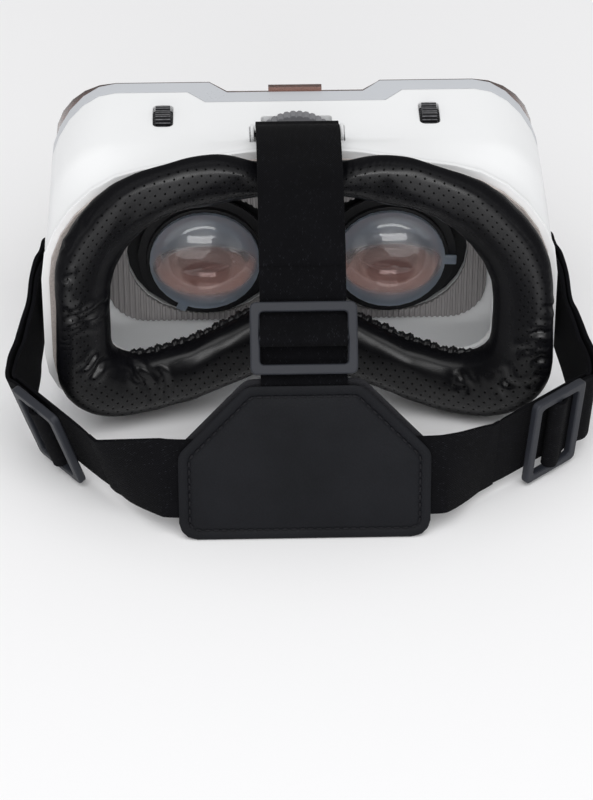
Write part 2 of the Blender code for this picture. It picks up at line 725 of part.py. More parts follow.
def add_ribbed_panel():
    back_y = BOARD_FRONT_Y - BOARD_THICKNESS - GAP
    outer = rectangle(PANEL_HALF_WIDTH, PANEL_LOW, PANEL_HIGH, PANEL_RADIUS, 6)
    blank = plate_mesh("ribbed_panel", [outer] + lens_openings(), RIB_BASE + RIB_HEIGHT)
    panel = add_part("ribbed_panel", blank, BAFFLE_GREY, (0.0, back_y - (RIB_BASE + RIB_HEIGHT) / 2, 0.0),
                     (math.pi / 2, 0.0, 0.0))
    count = int(PANEL_HALF_WIDTH * 2 / RIB_PITCH) + 2
    start = -RIB_PITCH * count / 2
    top = back_y - RIB_BASE - RIB_HEIGHT
    root = back_y - RIB_BASE
    outline = [(start, top - RIB_HEIGHT), (start, top)]
    for rib in range(count):
        left = start + rib * RIB_PITCH
        outline += [(left + RIB_PITCH * 0.40, top), (left + RIB_PITCH * 0.55, root),
                    (left + RIB_PITCH * 0.85, root), (left + RIB_PITCH, top)]
    outline.append((start + count * RIB_PITCH, top - RIB_HEIGHT))
    height = PANEL_HIGH - PANEL_LOW + PANEL_RADIUS
    comb = add_cutter("rib grooves", plate_mesh("rib grooves", [outline], height),
                      (0.0, 0.0, (PANEL_LOW + PANEL_HIGH) / 2))
    combine(panel, comb, 'DIFFERENCE', 'MANIFOLD')


def dome(radius, edge_height, bulge, steps=5):
    sphere = (radius ** 2 + bulge ** 2) / (2 * abs(bulge))
    points = []
    for step in range(steps + 1):
        r = radius * step / steps
        sag = math.sqrt(sphere ** 2 - r ** 2) - (sphere - abs(bulge))
        points.append((r, edge_height + math.copysign(sag, bulge)))
    return points


def add_optics(side, label):
    centre = (side * LENS_SPACING / 2, LENS_PLANE_Y, LENS_HEIGHT)
    rear = dome(LENS_BODY_RADIUS, LENS_EDGE, LENS_BULGE)
    front = dome(LENS_BODY_RADIUS, 0.0, -LENS_BULGE)
    profile = rear + [(LENS_RADIUS, LENS_EDGE), (LENS_RADIUS, 0.0)] + list(reversed(front))
    lens = turned(label + "_lens", profile, CLEAR, centre)
    shade_round(lens.data)
    top = -GAP
    flange = top - FLANGE_SETBACK
    profile = [(TUBE_INNER_RADIUS, top), (TUBE_OUTER_RADIUS, top), (TUBE_OUTER_RADIUS, flange),
               (FLANGE_RADIUS, flange), (FLANGE_RADIUS, flange - FLANGE_THICKNESS),
               (TUBE_OUTER_RADIUS, flange - FLANGE_THICKNESS), (TUBE_OUTER_RADIUS, -TUBE_LENGTH),
               (TUBE_INNER_RADIUS, -TUBE_LENGTH)]
    holder = turned(label + "_lens_holder", profile, BLACK, centre)
    reach = LENS_TRAVEL + SLIDER_WIDTH / 2 + 3 * GAP
    half = RAIL_THICKNESS / 2
    foot = LENS_HEIGHT + TUBE_INNER_RADIUS * 0.45
    rail = box_mesh("focus rail", (side * SLIDER_X - reach, SLIDER_Y - half, foot),
                    (side * SLIDER_X + reach, SLIDER_Y + half, RAIL_TOP))
    combine(holder, add_cutter(label + " focus rail", rail), 'UNION')
    bore = add_cutter(label + " bore", cylinder_mesh("bore", TUBE_INNER_RADIUS, TUBE_LENGTH * 3, ROUND_STEPS),
                      centre, (math.pi / 2, 0.0, 0.0))
    combine(holder, bore, 'DIFFERENCE')


def pitch_radius():
    return MODULE * PINION_TEETH / 2


def involute_point(base, radius):
    roll = math.sqrt(max(0.0, (radius / base) ** 2 - 1.0))
    return roll - math.atan(roll)


def add_pinion():
    pitch = pitch_radius()
    base = pitch * math.cos(PRESSURE_ANGLE)
    tip = pitch + ADDENDUM * MODULE
    foot = pitch - DEDENDUM * MODULE
    half_tooth = math.pi / (2 * PINION_TEETH) - BACKLASH / pitch
    at_pitch = involute_point(base, pitch)
    flank = []
    for share in (0.0, 0.35, 0.7, 1.0):
        radius = base + (tip - base) * share
        flank.append((radius, half_tooth + at_pitch - involute_point(base, radius)))
    outline = []
    for tooth in range(PINION_TEETH):
        centre = 2 * math.pi * tooth / PINION_TEETH
        polar = [(foot, -flank[0][1])] + [(r, -a) for r, a in flank]
        polar += [(r, a) for r, a in reversed(flank)] + [(foot, flank[0][1])]
        outline += [(r * math.cos(centre + a), r * math.sin(centre + a)) for r, a in polar]
    mesh = plate_mesh("ipd_pinion", [outline, circle(0.0, 0.0, AXLE_RADIUS + GAP / 3)], CARRIAGE_THICKNESS)
    add_part("ipd_pinion", mesh, BLACK, (0.0, carriage_y(), AXLE_HEIGHT), (math.pi / 2, 0.0, 0.0))


def carriage_y():
    return BOARD_FRONT_Y + GAP + CARRIAGE_THICKNESS / 2


def rack_outline(upper):
    """Rack bar along X about the axle, teeth towards the pinion."""
    away = 1.0 if upper else -1.0
    pitch_z = pitch_radius()
    tip = pitch_z - ADDENDUM * MODULE
    foot = pitch_z + DEDENDUM * MODULE
    half = math.pi * MODULE / 4 - BACKLASH
    narrow = half - ADDENDUM * MODULE * math.tan(PRESSURE_ANGLE)
    wide = half + DEDENDUM * MODULE * math.tan(PRESSURE_ANGLE)
    outline = []
    for tooth in range(RACK_TEETH):
        centre = (tooth - (RACK_TEETH - 1) / 2) * math.pi * MODULE
        outline += [(centre - wide, foot), (centre - narrow, tip)]
        outline += [(centre + narrow, tip), (centre + wide, foot)]
    return [(x, AXLE_HEIGHT + away * z) for x, z in outline], AXLE_HEIGHT + away * (foot + RACK_BACK)


def add_carriage(side, label):
    upper = side < 0
    centre = side * LENS_SPACING / 2
    low = LENS_HEIGHT - CARRIAGE_HALF_HEIGHT
    high = LENS_HEIGHT + CARRIAGE_HALF_HEIGHT
    hole = circle(centre, LENS_HEIGHT, TUBE_OUTER_RADIUS + GAP, ROUND_STEPS)
    outer = rectangle(CARRIAGE_HALF_WIDTH, low, high, CARRIAGE_RADIUS, 4, centre)
    plate = plate_mesh(label + "_carriage", [outer, hole], CARRIAGE_THICKNESS)
    carriage = add_part(label + "_carriage", plate, BLACK, (0.0, carriage_y(), 0.0), (math.pi / 2, 0.0, 0.0))
    teeth, back = rack_outline(upper)
    end = (RACK_TEETH / 2 + 0.3) * math.pi * MODULE
    foot = teeth[0][1]
    arm = RACK_BACK * 2
    inner = end + LENS_TRAVEL * 2 + 4 * GAP + RACK_BACK
    if not upper:
        inner = end
    # The arm rises from the carriage and turns in over, or under, the pinion.
    if upper:
        outline = [(-inner - arm, high - RACK_BACK), (-inner, high - RACK_BACK), (-inner, foot)] + teeth
        outline += [(end, foot), (end, back), (-inner - arm, back)]
    else:
        outline = [(-end, back), (inner, back), (inner, high - RACK_BACK), (inner + arm, high - RACK_BACK)]
        outline += [(inner + arm, foot), (end, foot)] + list(reversed(teeth)) + [(-end, foot)]
    rack = add_cutter(label + " rack", plate_mesh(label + " rack", [outline], CARRIAGE_THICKNESS - GAP),
                      (0.0, carriage_y(), 0.0), (math.pi / 2, 0.0, 0.0))
    combine(carriage, rack, 'UNION', 'MANIFOLD')


def add_guides():
    ends = LENS_SPACING / 2 + CARRIAGE_HALF_WIDTH
    low = LENS_HEIGHT - CARRIAGE_HALF_HEIGHT
    high = LENS_HEIGHT + CARRIAGE_HALF_HEIGHT
    add_guide("lower_guide", -ends, ends, low - GAP, -1)
    start = ends - CARRIAGE_HALF_WIDTH
    add_guide("left_upper_guide", -ends, -start, high + GAP, 1)
    add_guide("right_upper_guide", start, ends, high + GAP, 1)


def guide_front():
    return BOARD_FRONT_Y + GAP + CARRIAGE_THICKNESS + GAP + PLATE / 2


def add_guide(name, start, end, edge, away):
    body = GUIDE_LIP * 1.4
    back = BOARD_FRONT_Y + GAP
    cap = guide_front() - PLATE / 2
    outline = [(back, edge), (cap, edge), (cap, edge - away * GUIDE_LIP),
               (guide_front(), edge - away * GUIDE_LIP), (guide_front(), edge + away * body),
               (back, edge + away * body)]
    mesh = plate_mesh(name, [outline], end - start)
    add_part(name, mesh, BLACK, ((start + end) / 2, 0.0, 0.0), (math.pi / 2, 0.0, math.pi / 2))


def add_wheel():
    outline = []
    for tooth in range(WHEEL_TEETH):
        root = WHEEL_RADIUS - WHEEL_TOOTH_DEPTH
        for share, radius in ((0.0, root), (0.3, WHEEL_RADIUS), (0.7, WHEEL_RADIUS)):
            angle = 2 * math.pi * (tooth + share) / WHEEL_TEETH
            outline.append((radius * math.cos(angle), radius * math.sin(angle)))
    hole = circle(0.0, 0.0, AXLE_RADIUS + GAP / 3)
    add_part("ipd_wheel", plate_mesh("ipd_wheel", [outline, hole], WHEEL_THICKNESS), PALE_GREY,
             (0.0, WHEEL_Y, AXLE_HEIGHT), (math.pi / 2, 0.0, 0.0))
    back = BOARD_FRONT_Y - BOARD_THICKNESS
    bar = WHEEL_Y + WHEEL_THICKNESS / 2 + 2 * GAP
    length = bar + PLATE - back
    add_part("wheel_axle", cylinder_mesh("wheel_axle", AXLE_RADIUS, length), STEEL,
             (0.0, back + length / 2, AXLE_HEIGHT), (math.pi / 2, 0.0, 0.0))
    add_bracket(bar)


def add_bracket(bar):
    foot = BOARD_FRONT_Y + GAP
    half = BRACKET_HALF_WIDTH
    outline = [(-half, foot), (-half + PLATE, foot), (-half + PLATE, bar), (half - PLATE, bar),
               (half - PLATE, foot), (half, foot), (half, bar + PLATE), (-half, bar + PLATE)]
    mesh = plate_mesh("wheel_bracket", [outline], BRACKET_HEIGHT)
    bracket = add_part("wheel_bracket", mesh, BLACK, (0.0, 0.0, AXLE_HEIGHT))
    hole = add_cutter("bracket hole", cylinder_mesh("bracket hole", AXLE_RADIUS + GAP, PLATE * 4),
                      (0.0, bar + PLATE / 2, AXLE_HEIGHT), (math.pi / 2, 0.0, 0.0))
    combine(bracket, hole, 'DIFFERENCE')


def add_slider(side, label):
    x = side * SLIDER_X
    half_x = SLIDER_WIDTH / 2
    half_y = SLIDER_LENGTH / 2
    under = SHELL_HEIGHT - WALL - GAP
    top = SHELL_HEIGHT + SLIDER_PROUD
    name = label + "_focus_slider"
    cap = box_mesh(name, (x - half_x, SLIDER_Y - half_y, under - PLATE / 2),
                   (x + half_x, SLIDER_Y + half_y, top))
    slider = add_part(name, cap, BLACK)
    reach = SLIDER_Y - FOCUS_TRAVEL - BOARD_FRONT_Y - GAP
    foot = box_mesh("foot", (x - half_x * 2, SLIDER_Y - reach, under - PLATE),
                    (x + half_x * 2, SLIDER_Y + reach, under))
    combine(slider, add_cutter(label + " slider foot", foot), 'UNION')
    slot = RAIL_THICKNESS / 2 + GAP
    low = RAIL_TOP - RAIL_THICKNESS * 3
    outline = [(-slot - PRONG, low), (-slot, low), (-slot, RAIL_TOP + GAP), (slot, RAIL_TOP + GAP),
               (slot, low), (slot + PRONG, low), (slot + PRONG, under - PLATE / 2),
               (-slot - PRONG, under - PLATE / 2)]
    fork = add_cutter(label + " slider fork", plate_mesh("fork", [outline], SLIDER_WIDTH * 0.9),
                      (x, SLIDER_Y, 0.0), (math.pi / 2, 0.0, math.pi / 2))
    combine(slider, fork, 'UNION')
    pitch = SLIDER_LENGTH / SLIDER_RIBS
    for rib in range(SLIDER_RIBS - 1):
        y = SLIDER_Y - half_y + pitch * (rib + 1)
        groove = box_mesh("groove", (x - half_x * 2, y - pitch * 0.2, top - SLIDER_PROUD * 0.4),
                          (x + half_x * 2, y + pitch * 0.2, top + SLIDER_PROUD))
        combine(slider, add_cutter("%s slider groove %d" % (label, rib + 1), groove), 'DIFFERENCE')


def pad_point(across, along, out=0.0):
    """Point on the back pad's middle plane, from the middle of its lower edge."""
    y = BACK_PAD_Y + along * math.sin(BACK_PAD_LEAN) - out * math.cos(BACK_PAD_LEAN)
    z = BACK_PAD_Z + along * math.cos(BACK_PAD_LEAN) + out * math.sin(BACK_PAD_LEAN) * -1.0
    return Vector((across, y, z))


def pad_outline(inset=0.0):
    half = BACK_PAD_WIDTH / 2
    top = BACK_PAD_TOP_WIDTH / 2
    corners = [(-half, 0.0), (half, 0.0), (half, BACK_PAD_SHOULDER), (top, BACK_PAD_HEIGHT),
               (-top, BACK_PAD_HEIGHT), (-half, BACK_PAD_SHOULDER)]
    outline = rounded_polygon(corners, BACK_PAD_RADIUS, 3)
    middle = BACK_PAD_HEIGHT / 2
    grow_x = 1.0 - inset / half
    grow_z = 1.0 - inset / middle
    return [(x * grow_x, middle + (z - middle) * grow_z) for x, z in outline]


def add_pad_layer(name, look, rings):
    points = [[pad_point(x, z, out) for x, z in pad_outline(inset)] for inset, out in rings]
    mesh = loft_mesh(name, points, caps=True)
    shade_round(mesh)
    add_part(name, mesh, look)


def add_back_pad():
    half = STRAP_THICKNESS / 2
    base = half + GAP
    border = BACK_PAD_BORDER
    rise = COVER_THICKNESS
    add_pad_layer("back_pad_cover", LEATHER, (
        (border * 0.2, base), (0.0, base + rise * 0.3), (border * 0.3, base + rise * 0.7),
        (border * 0.85, base + rise * 0.78), (border, base + rise * 0.66),
        (border * 1.25, base + rise * 0.82), (border * 3.0, base + rise)))
    rise = LINING_THICKNESS
    add_pad_layer("back_pad_lining", RUBBER, (
        (border * 0.2, -base), (0.0, -base - rise * 0.35), (border * 0.5, -base - rise * 0.8),
        (border * 2.5, -base - rise)))
    sheet = plate_mesh("back_pad_core", [pad_outline(border * 0.4)], STRAP_THICKNESS)
    leaning = (math.pi / 2 - BACK_PAD_LEAN, 0.0, 0.0)
    core = add_part("back_pad_core", sheet, BLACK, pad_point(0.0, 0.0), leaning)
    reach = BACK_PAD_WIDTH / 2
    width = STRAP_WIDTH / 2 + GAP
    low = BACK_PAD_STRAP_Z - width
    high = BACK_PAD_STRAP_Z + width
    pockets = (("left", -reach - width, -reach + STRAP_TUCK + GAP, low, high),
               ("right", reach - STRAP_TUCK - GAP, reach + width, low, high),
               ("top", -width, width, BACK_PAD_HEIGHT - STRAP_TUCK - GAP, BACK_PAD_HEIGHT + width))
    for label, low_x, high_x, low_z, high_z in pockets:
        outline = [(low_x, low_z), (high_x, low_z), (high_x, high_z), (low_x, high_z)]
        pocket = add_cutter(label + " strap pocket", plate_mesh("pocket", [outline], STRAP_THICKNESS * 3),
                            pad_point(0.0, 0.0), (math.pi / 2 - BACK_PAD_LEAN, 0.0, 0.0))
        combine(core, pocket, 'DIFFERENCE')


def spline_point(before, start, end, after, share):
    """Centripetal curve through four points, so uneven spacing leaves no loops."""
    knots = [0.0]
    for first, second in ((before, start), (start, end), (end, after)):
        knots.append(knots[-1] + max((second - first).length, 1e-9) ** 0.5)
    at = knots[1] + (knots[2] - knots[1]) * share

    def mix(first, second, low, high):
        return first + (second - first) * ((at - low) / (high - low))

    a1 = mix(before, start, knots[0], knots[1])
    a2 = mix(start, end, knots[1], knots[2])
    a3 = mix(end, after, knots[2], knots[3])
    b1 = mix(a1, a2, knots[0], knots[2])
    b2 = mix(a2, a3, knots[1], knots[3])
    return mix(b1, b2, knots[1], knots[2])


def smooth_path(points, steps=PATH_STEPS):
    ends = [points[0] * 2 - points[1]] + list(points) + [points[-1] * 2 - points[-2]]
    path = []
    for index in range(1, len(ends) - 2):
        for step in range(steps):
            path.append(spline_point(*ends[index - 1:index + 3], step / steps))
    path.append(points[-1])
    return path


def spread(values, steps=PATH_STEPS):
    """Values at the route's points, eased onto the samples of its smooth path."""
    samples = []
    for first, second in zip(values, values[1:]):
        for step in range(steps):
            samples.append(first + (second - first) * (step / steps))
    samples.append(values[-1])
    return samples


def ribbon_mesh(name, path, ups):
    rings = []
    for index, point in enumerate(path):
        ahead = path[min(index + 1, len(path) - 1)]
        behind = path[max(index - 1, 0)]
        along = (ahead - behind).normalized()
        up = square_to(ups[index], along)
        out = along.cross(up) * (STRAP_THICKNESS / 2)
        up = up * (STRAP_WIDTH / 2)
        rings.append([point - up - out, point + up - out, point + up + out, point - up + out])
    return loft_mesh(name, rings, caps=True)


def square_to(vector, along):
    return (vector - along * vector.dot(along)).normalized()


def wrap_radius(bar_radius):
    return bar_radius + GAP + STRAP_THICKNESS / 2


def layer_step():
    return STRAP_THICKNESS + LAYER_GAP


def add_strap(label, spec):
    """One strap: the layer from the pad to its anchor bar, the layer that turns back, and the buckle."""
    along = Vector(spec["along"]).normalized()
    up = square_to(Vector(spec["up"]), along)
    out = along.cross(up) * spec["outward"]
    drop = wrap_radius(CENTRE_BAR_RADIUS) + layer_step()
    middle = Vector(spec["buckle"]) - out * drop
    straight = [middle + along * reach for reach in spec["straight"]]
    lead = [point for point, _ in spec["lead"]]
    route = [Vector(point) for point, _ in spec["route"]]
    bar = Vector(spec["bar"])
    bar_along = Vector(spec["bar_along"]).normalized()
    bar_up = square_to(Vector(spec["bar_up"]), bar_along)
    bar_out = bar_along.cross(bar_up) * spec["outward"]
    turn = wrap_radius(ANCHOR_BAR_RADIUS)
    under = bar - bar_out * turn
    run_in = [under - bar_along * back + bar_out * (rise * spec["climb"]) for back, rise in RUN_IN]
    points = lead + straight + route + run_in
    ups = [Vector(u) for _, u in spec["lead"]] + [up] * len(straight)
    ups += [Vector(u) for _, u in spec["route"]] + [bar_up] * len(run_in)
    path = smooth_path(points)
    path_ups = spread(ups)
    mesh = ribbon_mesh(label + "_strap", path, path_ups)
    shade_round(mesh)
    add_part(label + "_strap", mesh, WEBBING)
    first = (len(lead) + len(straight) - 2) * PATH_STEPS
    anchor = (bar, bar_along, bar_up, bar_out)
    add_return(label, spec, path[first:], path_ups[first:], (along, up, out), anchor)
    add_buckle(label, Vector(spec["buckle"]), along, up, out)


def add_return(label, spec, path, ups, buckle_axes, anchor):
    along, up, out = buckle_axes
    bar, bar_along, bar_up, bar_out = anchor
    centre = Vector(spec["buckle"])
    wrap = wrap_radius(CENTRE_BAR_RADIUS)
    points = []
    for degrees in (15, -20, -60, -100, -140, -180, -215):
        angle = math.radians(degrees)
        points.append(centre + along * wrap * math.sin(angle) - out * wrap * math.cos(angle))
    pitch = BUCKLE_LENGTH / 2 - BUCKLE_BAR / 2
    for reach, height in ((0.62, -0.55), (0.84, -1.0), (1.15, -1.0)):
        points.append(centre + along * pitch * reach + out * wrap * height)
    new_ups = [up] * len(points)
    turn = wrap_radius(ANCHOR_BAR_RADIUS)
    count = len(path)
    lead_out = 4 * PATH_STEPS
    for index in range(count - PATH_STEPS):
        ahead = path[min(index + 1, count - 1)]
        behind = path[max(index - 1, 0)]
        tangent = (ahead - behind).normalized()
        side = tangent.cross(ups[index]).normalized() * spec["outward"]
        spread_share = ease((index - (count - 1 - lead_out - PATH_STEPS)) / lead_out)
        bow = spec["bow"] * math.sin(math.pi * min(1.0, index / (count - PATH_STEPS - lead_out))) ** 2
        points.append(path[index] + side * (layer_step() + bow + (2 * turn - layer_step()) * spread_share))
        new_ups.append(ups[index])
    for degrees in (180, 140, 100, 60, 20):
        angle = math.radians(degrees)
        points.append(bar + bar_along * turn * math.sin(angle) - bar_out * turn * math.cos(angle))
        new_ups.append(bar_up)
    points.append(bar + bar_along * GAP / 2 - bar_out * turn)
    new_ups.append(bar_up)
    mesh = ribbon_mesh(label + "_strap_return", points, new_ups)
    shade_round(mesh)
    add_part(label + "_strap_return", mesh, WEBBING)


def add_buckle(label, centre, along, up, out):
    half_length = BUCKLE_LENGTH / 2
    half_width = BUCKLE_WIDTH / 2
    outer = rectangle(half_length, -half_width, half_width, BUCKLE_RADIUS, 3)
    rail = half_width - BUCKLE_BAR
    window = rectangle(half_length - BUCKLE_BAR, -rail, rail, BUCKLE_RADIUS / 2, 2)
    name = label + "_buckle"
    turn = Matrix((along, up, along.cross(up))).transposed().to_4x4()
    turn.translation = centre
    plate = plate_mesh(name, [outer, window], BUCKLE_THICKNESS, BUCKLE_THICKNESS * 0.15)
    buckle = add_part(name, plate, DARK_GREY)
    buckle.matrix_world = turn
    length = rail * 2 + BUCKLE_BAR
    bar = add_cutter(label + " centre bar", cylinder_mesh("centre bar", CENTRE_BAR_RADIUS, length))
    bar.matrix_world = turn @ Matrix.Rotation(math.pi / 2, 4, 'X')
    combine(buckle, bar, 'UNION')


def anchor_frame(spec):
    """Axes of an anchor: along the strap, along the bar, and out of the shell or into it."""
    along = Vector(spec["bar_along"]).normalized()
    up = square_to(Vector(spec["bar_up"]), along)
    frame = Matrix((along, up, along.cross(up))).transposed().to_4x4()
    frame.translation = Vector(spec["bar"])
    return frame


def anchor_reach():
    return STRAP_WIDTH / 2 + 2 * GAP


def add_anchor(label, spec):
    """Bar across a slot in the shell, on two ears whose feet lie against the inside of the wall."""
    turn = anchor_frame(spec)
    reach = anchor_reach()
    name = label + "_strap_anchor"
    anchor = add_part(name, cylinder_mesh(name, ANCHOR_BAR_RADIUS, 2 * reach + ANCHOR_EAR), WHITE)
    anchor.matrix_world = turn @ Matrix.Rotation(math.pi / 2, 4, 'X')
    sign = spec["outward"]
    seat = ANCHOR_PROUD + WALL + GAP
    base = seat + ANCHOR_FOOT_THICKNESS
    back = -ANCHOR_EAR_LENGTH
    setback = spec["setback"]
    for end, tag in ((-1, "lower"), (1, "upper")):
        for kind, front, width, bottom, top in (
                ("cheek", ANCHOR_BAR_RADIUS, ANCHOR_EAR, ANCHOR_PROUD + WALL - GAP, ANCHOR_BAR_RADIUS),
                ("neck", -setback, ANCHOR_EAR - GAP / 2, base - GAP / 2, 0.0),
                ("foot", -setback - GAP / 2, ANCHOR_EAR + ANCHOR_FOOT, base, -seat)):
            low_up, high_up = sorted((end * reach, end * (reach + width)))
            low_out, high_out = sorted((-sign * bottom, sign * top))
            block = box_mesh(kind, (back, low_up, low_out), (front, high_up, high_out))
            cutter = add_cutter("%s %s %s" % (label, tag, kind), block)
            cutter.matrix_world = turn
            combine(anchor, cutter, 'UNION', 'MANIFOLD')


def strap_specs():
    top_bar_z = SHELL_HEIGHT + ANCHOR_PROUD
    side_bar_x = SHELL_HALF_WIDTH + ANCHOR_PROUD
    upright = Vector((0.0, 0.0, 1.0))
    lean = (pad_point(0.0, 1.0) - pad_point(0.0, 0.0)).normalized()
    edge = BACK_PAD_WIDTH / 2
    height = BACK_PAD_STRAP_Z

    def side_lead(side):
        return [(pad_point(side * (edge - STRAP_TUCK), height), lean), (pad_point(side * edge, height), lean),
                (pad_point(side * (edge + 0.006), height) + Vector((0.0, 0.0008, 0.0)), lean)]

    across = Vector((-1.0, 0.0, 0.0))
    depths = (STRAP_TUCK, STRAP_TUCK / 3, 0.0)
    top_lead = [(pad_point(0.0, BACK_PAD_HEIGHT - depth), across) for depth in depths]
    return {
        "left": {
            "outward": -1.0, "buckle": (-0.0902, -0.0835, 0.0196), "along": (-0.62, 0.78, 0.05),
            "up": (-0.25, -0.24, 0.94), "straight": (-0.030, -0.022, 0.0165, 0.020), "lead": side_lead(-1),
            "route": [((-0.0994, -0.0580, 0.0248), (-0.15, -0.25, 0.94)),
                      ((-0.0972, -0.0495, 0.0318), (-0.03, -0.22, 0.97)),
                      ((-0.0950, -0.0410, 0.0400), (0.0, -0.21, 0.98))],
            "bar": (-side_bar_x, SIDE_BAR_Y, SIDE_BAR_Z), "bar_along": (0.0, 0.95, 0.20), "bar_up": upright,
            "climb": 1.0, "bow": 0.0007, "setback": ANCHOR_FOOT_SETBACK},
        "right": {
            "outward": 1.0, "buckle": (0.0897, -0.0859, 0.0196), "along": (0.76, 0.65, 0.02),
            "up": (0.09, -0.09, 0.99), "straight": (-0.030, -0.022, 0.0165, 0.020), "lead": side_lead(1),
            "route": [((0.1022, -0.0625, 0.0230), (0.05, -0.18, 0.97)),
                      ((0.0988, -0.0515, 0.0296), (0.0, -0.21, 0.97)),
                      ((0.0952, -0.0410, 0.0385), (0.0, -0.21, 0.98))],
            "bar": (side_bar_x, SIDE_BAR_Y, SIDE_BAR_Z), "bar_along": (0.0, 0.95, 0.20), "bar_up": upright,
            "climb": 1.0, "bow": 0.0008, "setback": ANCHOR_FOOT_SETBACK},
        "top": {
            "outward": 1.0, "buckle": pad_point(0.0, BACK_PAD_HEIGHT) + TOP_BUCKLE_STEP,
            "along": (0.0, 0.62, 0.78), "up": across, "straight": (-0.0110, -0.0085, 0.0245, 0.0285),
            "lead": top_lead,
            "route": [((0.0, -0.0720, 0.0985), across), ((0.0, -0.0540, 0.1062), across),
                      ((0.0, -0.0400, 0.1082), across), ((0.0, -0.0330, 0.1084), across)],
            "bar": (0.0, TOP_BAR_Y, top_bar_z), "bar_along": (0.0, 1.0, 0.0), "bar_up": across,
            "climb": 1.4, "bow": 0.0, "setback": TOP_BAR_Y - BOARD_FRONT_Y + BOARD_THICKNESS + GAP},
    }


def main():
    global PARTS, CUTTERS
    reset_scene()
    PARTS = new_collection("vr headset")
    CUTTERS = new_collection("cutters")
    add_shell()
    add_bezel()
    add_face_parts()
    add_lens_board()
    add_ribbed_panel()
    for side, label in ((-1, "left"), (1, "right")):
        add_optics(side, label)
        add_carriage(side, label)
        add_slider(side, label)
    add_guides()
    add_pinion()
    add_wheel()
    add_window_frame()
    add_door()
    add_back_pad()
    for label, spec in strap_specs().items():
        add_strap(label, spec)
        add_anchor(label, spec)


main()
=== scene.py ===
import json
import math
from itertools import permutations

import bmesh
import bpy
from mathutils import Euler, Matrix, Vector

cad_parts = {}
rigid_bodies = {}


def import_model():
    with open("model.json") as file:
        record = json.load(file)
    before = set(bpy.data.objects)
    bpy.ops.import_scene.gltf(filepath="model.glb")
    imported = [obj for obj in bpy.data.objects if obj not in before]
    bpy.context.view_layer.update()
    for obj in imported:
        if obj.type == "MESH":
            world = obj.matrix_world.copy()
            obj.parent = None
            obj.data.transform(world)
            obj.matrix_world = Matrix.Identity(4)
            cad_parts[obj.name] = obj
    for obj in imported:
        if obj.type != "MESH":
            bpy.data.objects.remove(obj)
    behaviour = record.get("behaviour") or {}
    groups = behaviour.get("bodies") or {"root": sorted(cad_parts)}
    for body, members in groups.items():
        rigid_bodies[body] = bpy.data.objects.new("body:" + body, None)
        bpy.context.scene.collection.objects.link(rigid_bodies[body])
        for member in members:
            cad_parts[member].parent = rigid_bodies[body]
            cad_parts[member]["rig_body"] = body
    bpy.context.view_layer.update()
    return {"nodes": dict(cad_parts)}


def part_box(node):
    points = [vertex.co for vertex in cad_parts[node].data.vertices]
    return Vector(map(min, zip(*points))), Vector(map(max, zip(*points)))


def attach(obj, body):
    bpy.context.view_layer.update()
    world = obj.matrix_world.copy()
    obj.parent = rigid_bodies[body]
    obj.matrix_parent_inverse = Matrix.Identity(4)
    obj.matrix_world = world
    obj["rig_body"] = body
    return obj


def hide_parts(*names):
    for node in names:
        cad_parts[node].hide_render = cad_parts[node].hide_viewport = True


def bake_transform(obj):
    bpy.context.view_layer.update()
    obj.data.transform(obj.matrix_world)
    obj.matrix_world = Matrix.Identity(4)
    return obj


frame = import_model()
nodes = frame["nodes"]
print("frame loaded:", len(nodes), "nodes")


def paint(red, green, blue):
    # colour as given on screen, 0 to 255, as the linear colour that nodes take
    def straight(value):
        value /= 255
        return value / 12.92 if value <= 0.04045 else ((value + 0.055) / 1.055) ** 2.4
    return straight(red), straight(green), straight(blue), 1.0


def pickOnly(piece):
    if bpy.context.object and bpy.context.object.mode != 'OBJECT':
        bpy.ops.object.mode_set(mode='OBJECT')
    bpy.ops.object.select_all(action='DESELECT')
    piece.select_set(True)
    bpy.context.view_layer.objects.active = piece


def addModifier(piece, kind, **settings):
    modifier = piece.modifiers.new(kind.lower(), kind)
    for key, value in settings.items():
        setattr(modifier, key, value)
    pickOnly(piece)
    bpy.ops.object.modifier_apply(modifier=modifier.name)


def dress(piece, finish):
    piece.data.materials.clear()
    piece.data.materials.append(finish)


def newPiece(pieceName):
    # the primitive that was just added, under its own name
    piece = bpy.context.object
    piece.name = piece.data.name = pieceName
    return piece


def layFlat(piece, spots):
    # UV map of the flat cut, from each point's place on it
    layer = piece.data.uv_layers[0]
    layer.name = "flatCut"
    for loop in piece.data.loops:
        layer.data[loop.index].uv = spots[loop.vertex_index]


def editAll(piece):
    pickOnly(piece)
    bpy.ops.object.mode_set(mode='EDIT')
    bpy.ops.mesh.select_all(action='SELECT')


def faceOutwards(piece, merge=0.0):
    editAll(piece)
    if merge:
        bpy.ops.mesh.remove_doubles(threshold=merge)
    bpy.ops.mesh.normals_make_consistent(inside=False)
    bpy.ops.object.mode_set(mode='OBJECT')


def shadeSmooth(piece, degrees):
    # smooth, apart from edges that are sharper than an angle
    pickOnly(piece)
    bpy.ops.object.shade_smooth_by_angle(angle=math.radians(degrees))


weldGap = 0.00001  # points nearer than this, in metres, are one


# shader nodes

def feed(tree, node, inputs):
    # what comes from another node is linked, a plain value is set
    for key, value in inputs.items():
        if isinstance(value, bpy.types.NodeSocket):
            tree.links.new(value, node.inputs[key])
        else:
            node.inputs[key].default_value = value


def place(tree, kind, inputs=None, **settings):
    node = tree.nodes.new(kind)
    for key, value in settings.items():
        setattr(node, key, value)
    feed(tree, node, inputs or {})
    return node


def calc(tree, operation, *terms):
    return place(tree, 'ShaderNodeMath', dict(enumerate(terms)), operation=operation).outputs[0]


def calcVector(tree, operation, *terms):
    return place(tree, 'ShaderNodeVectorMath', dict(enumerate(terms)), operation=operation).outputs


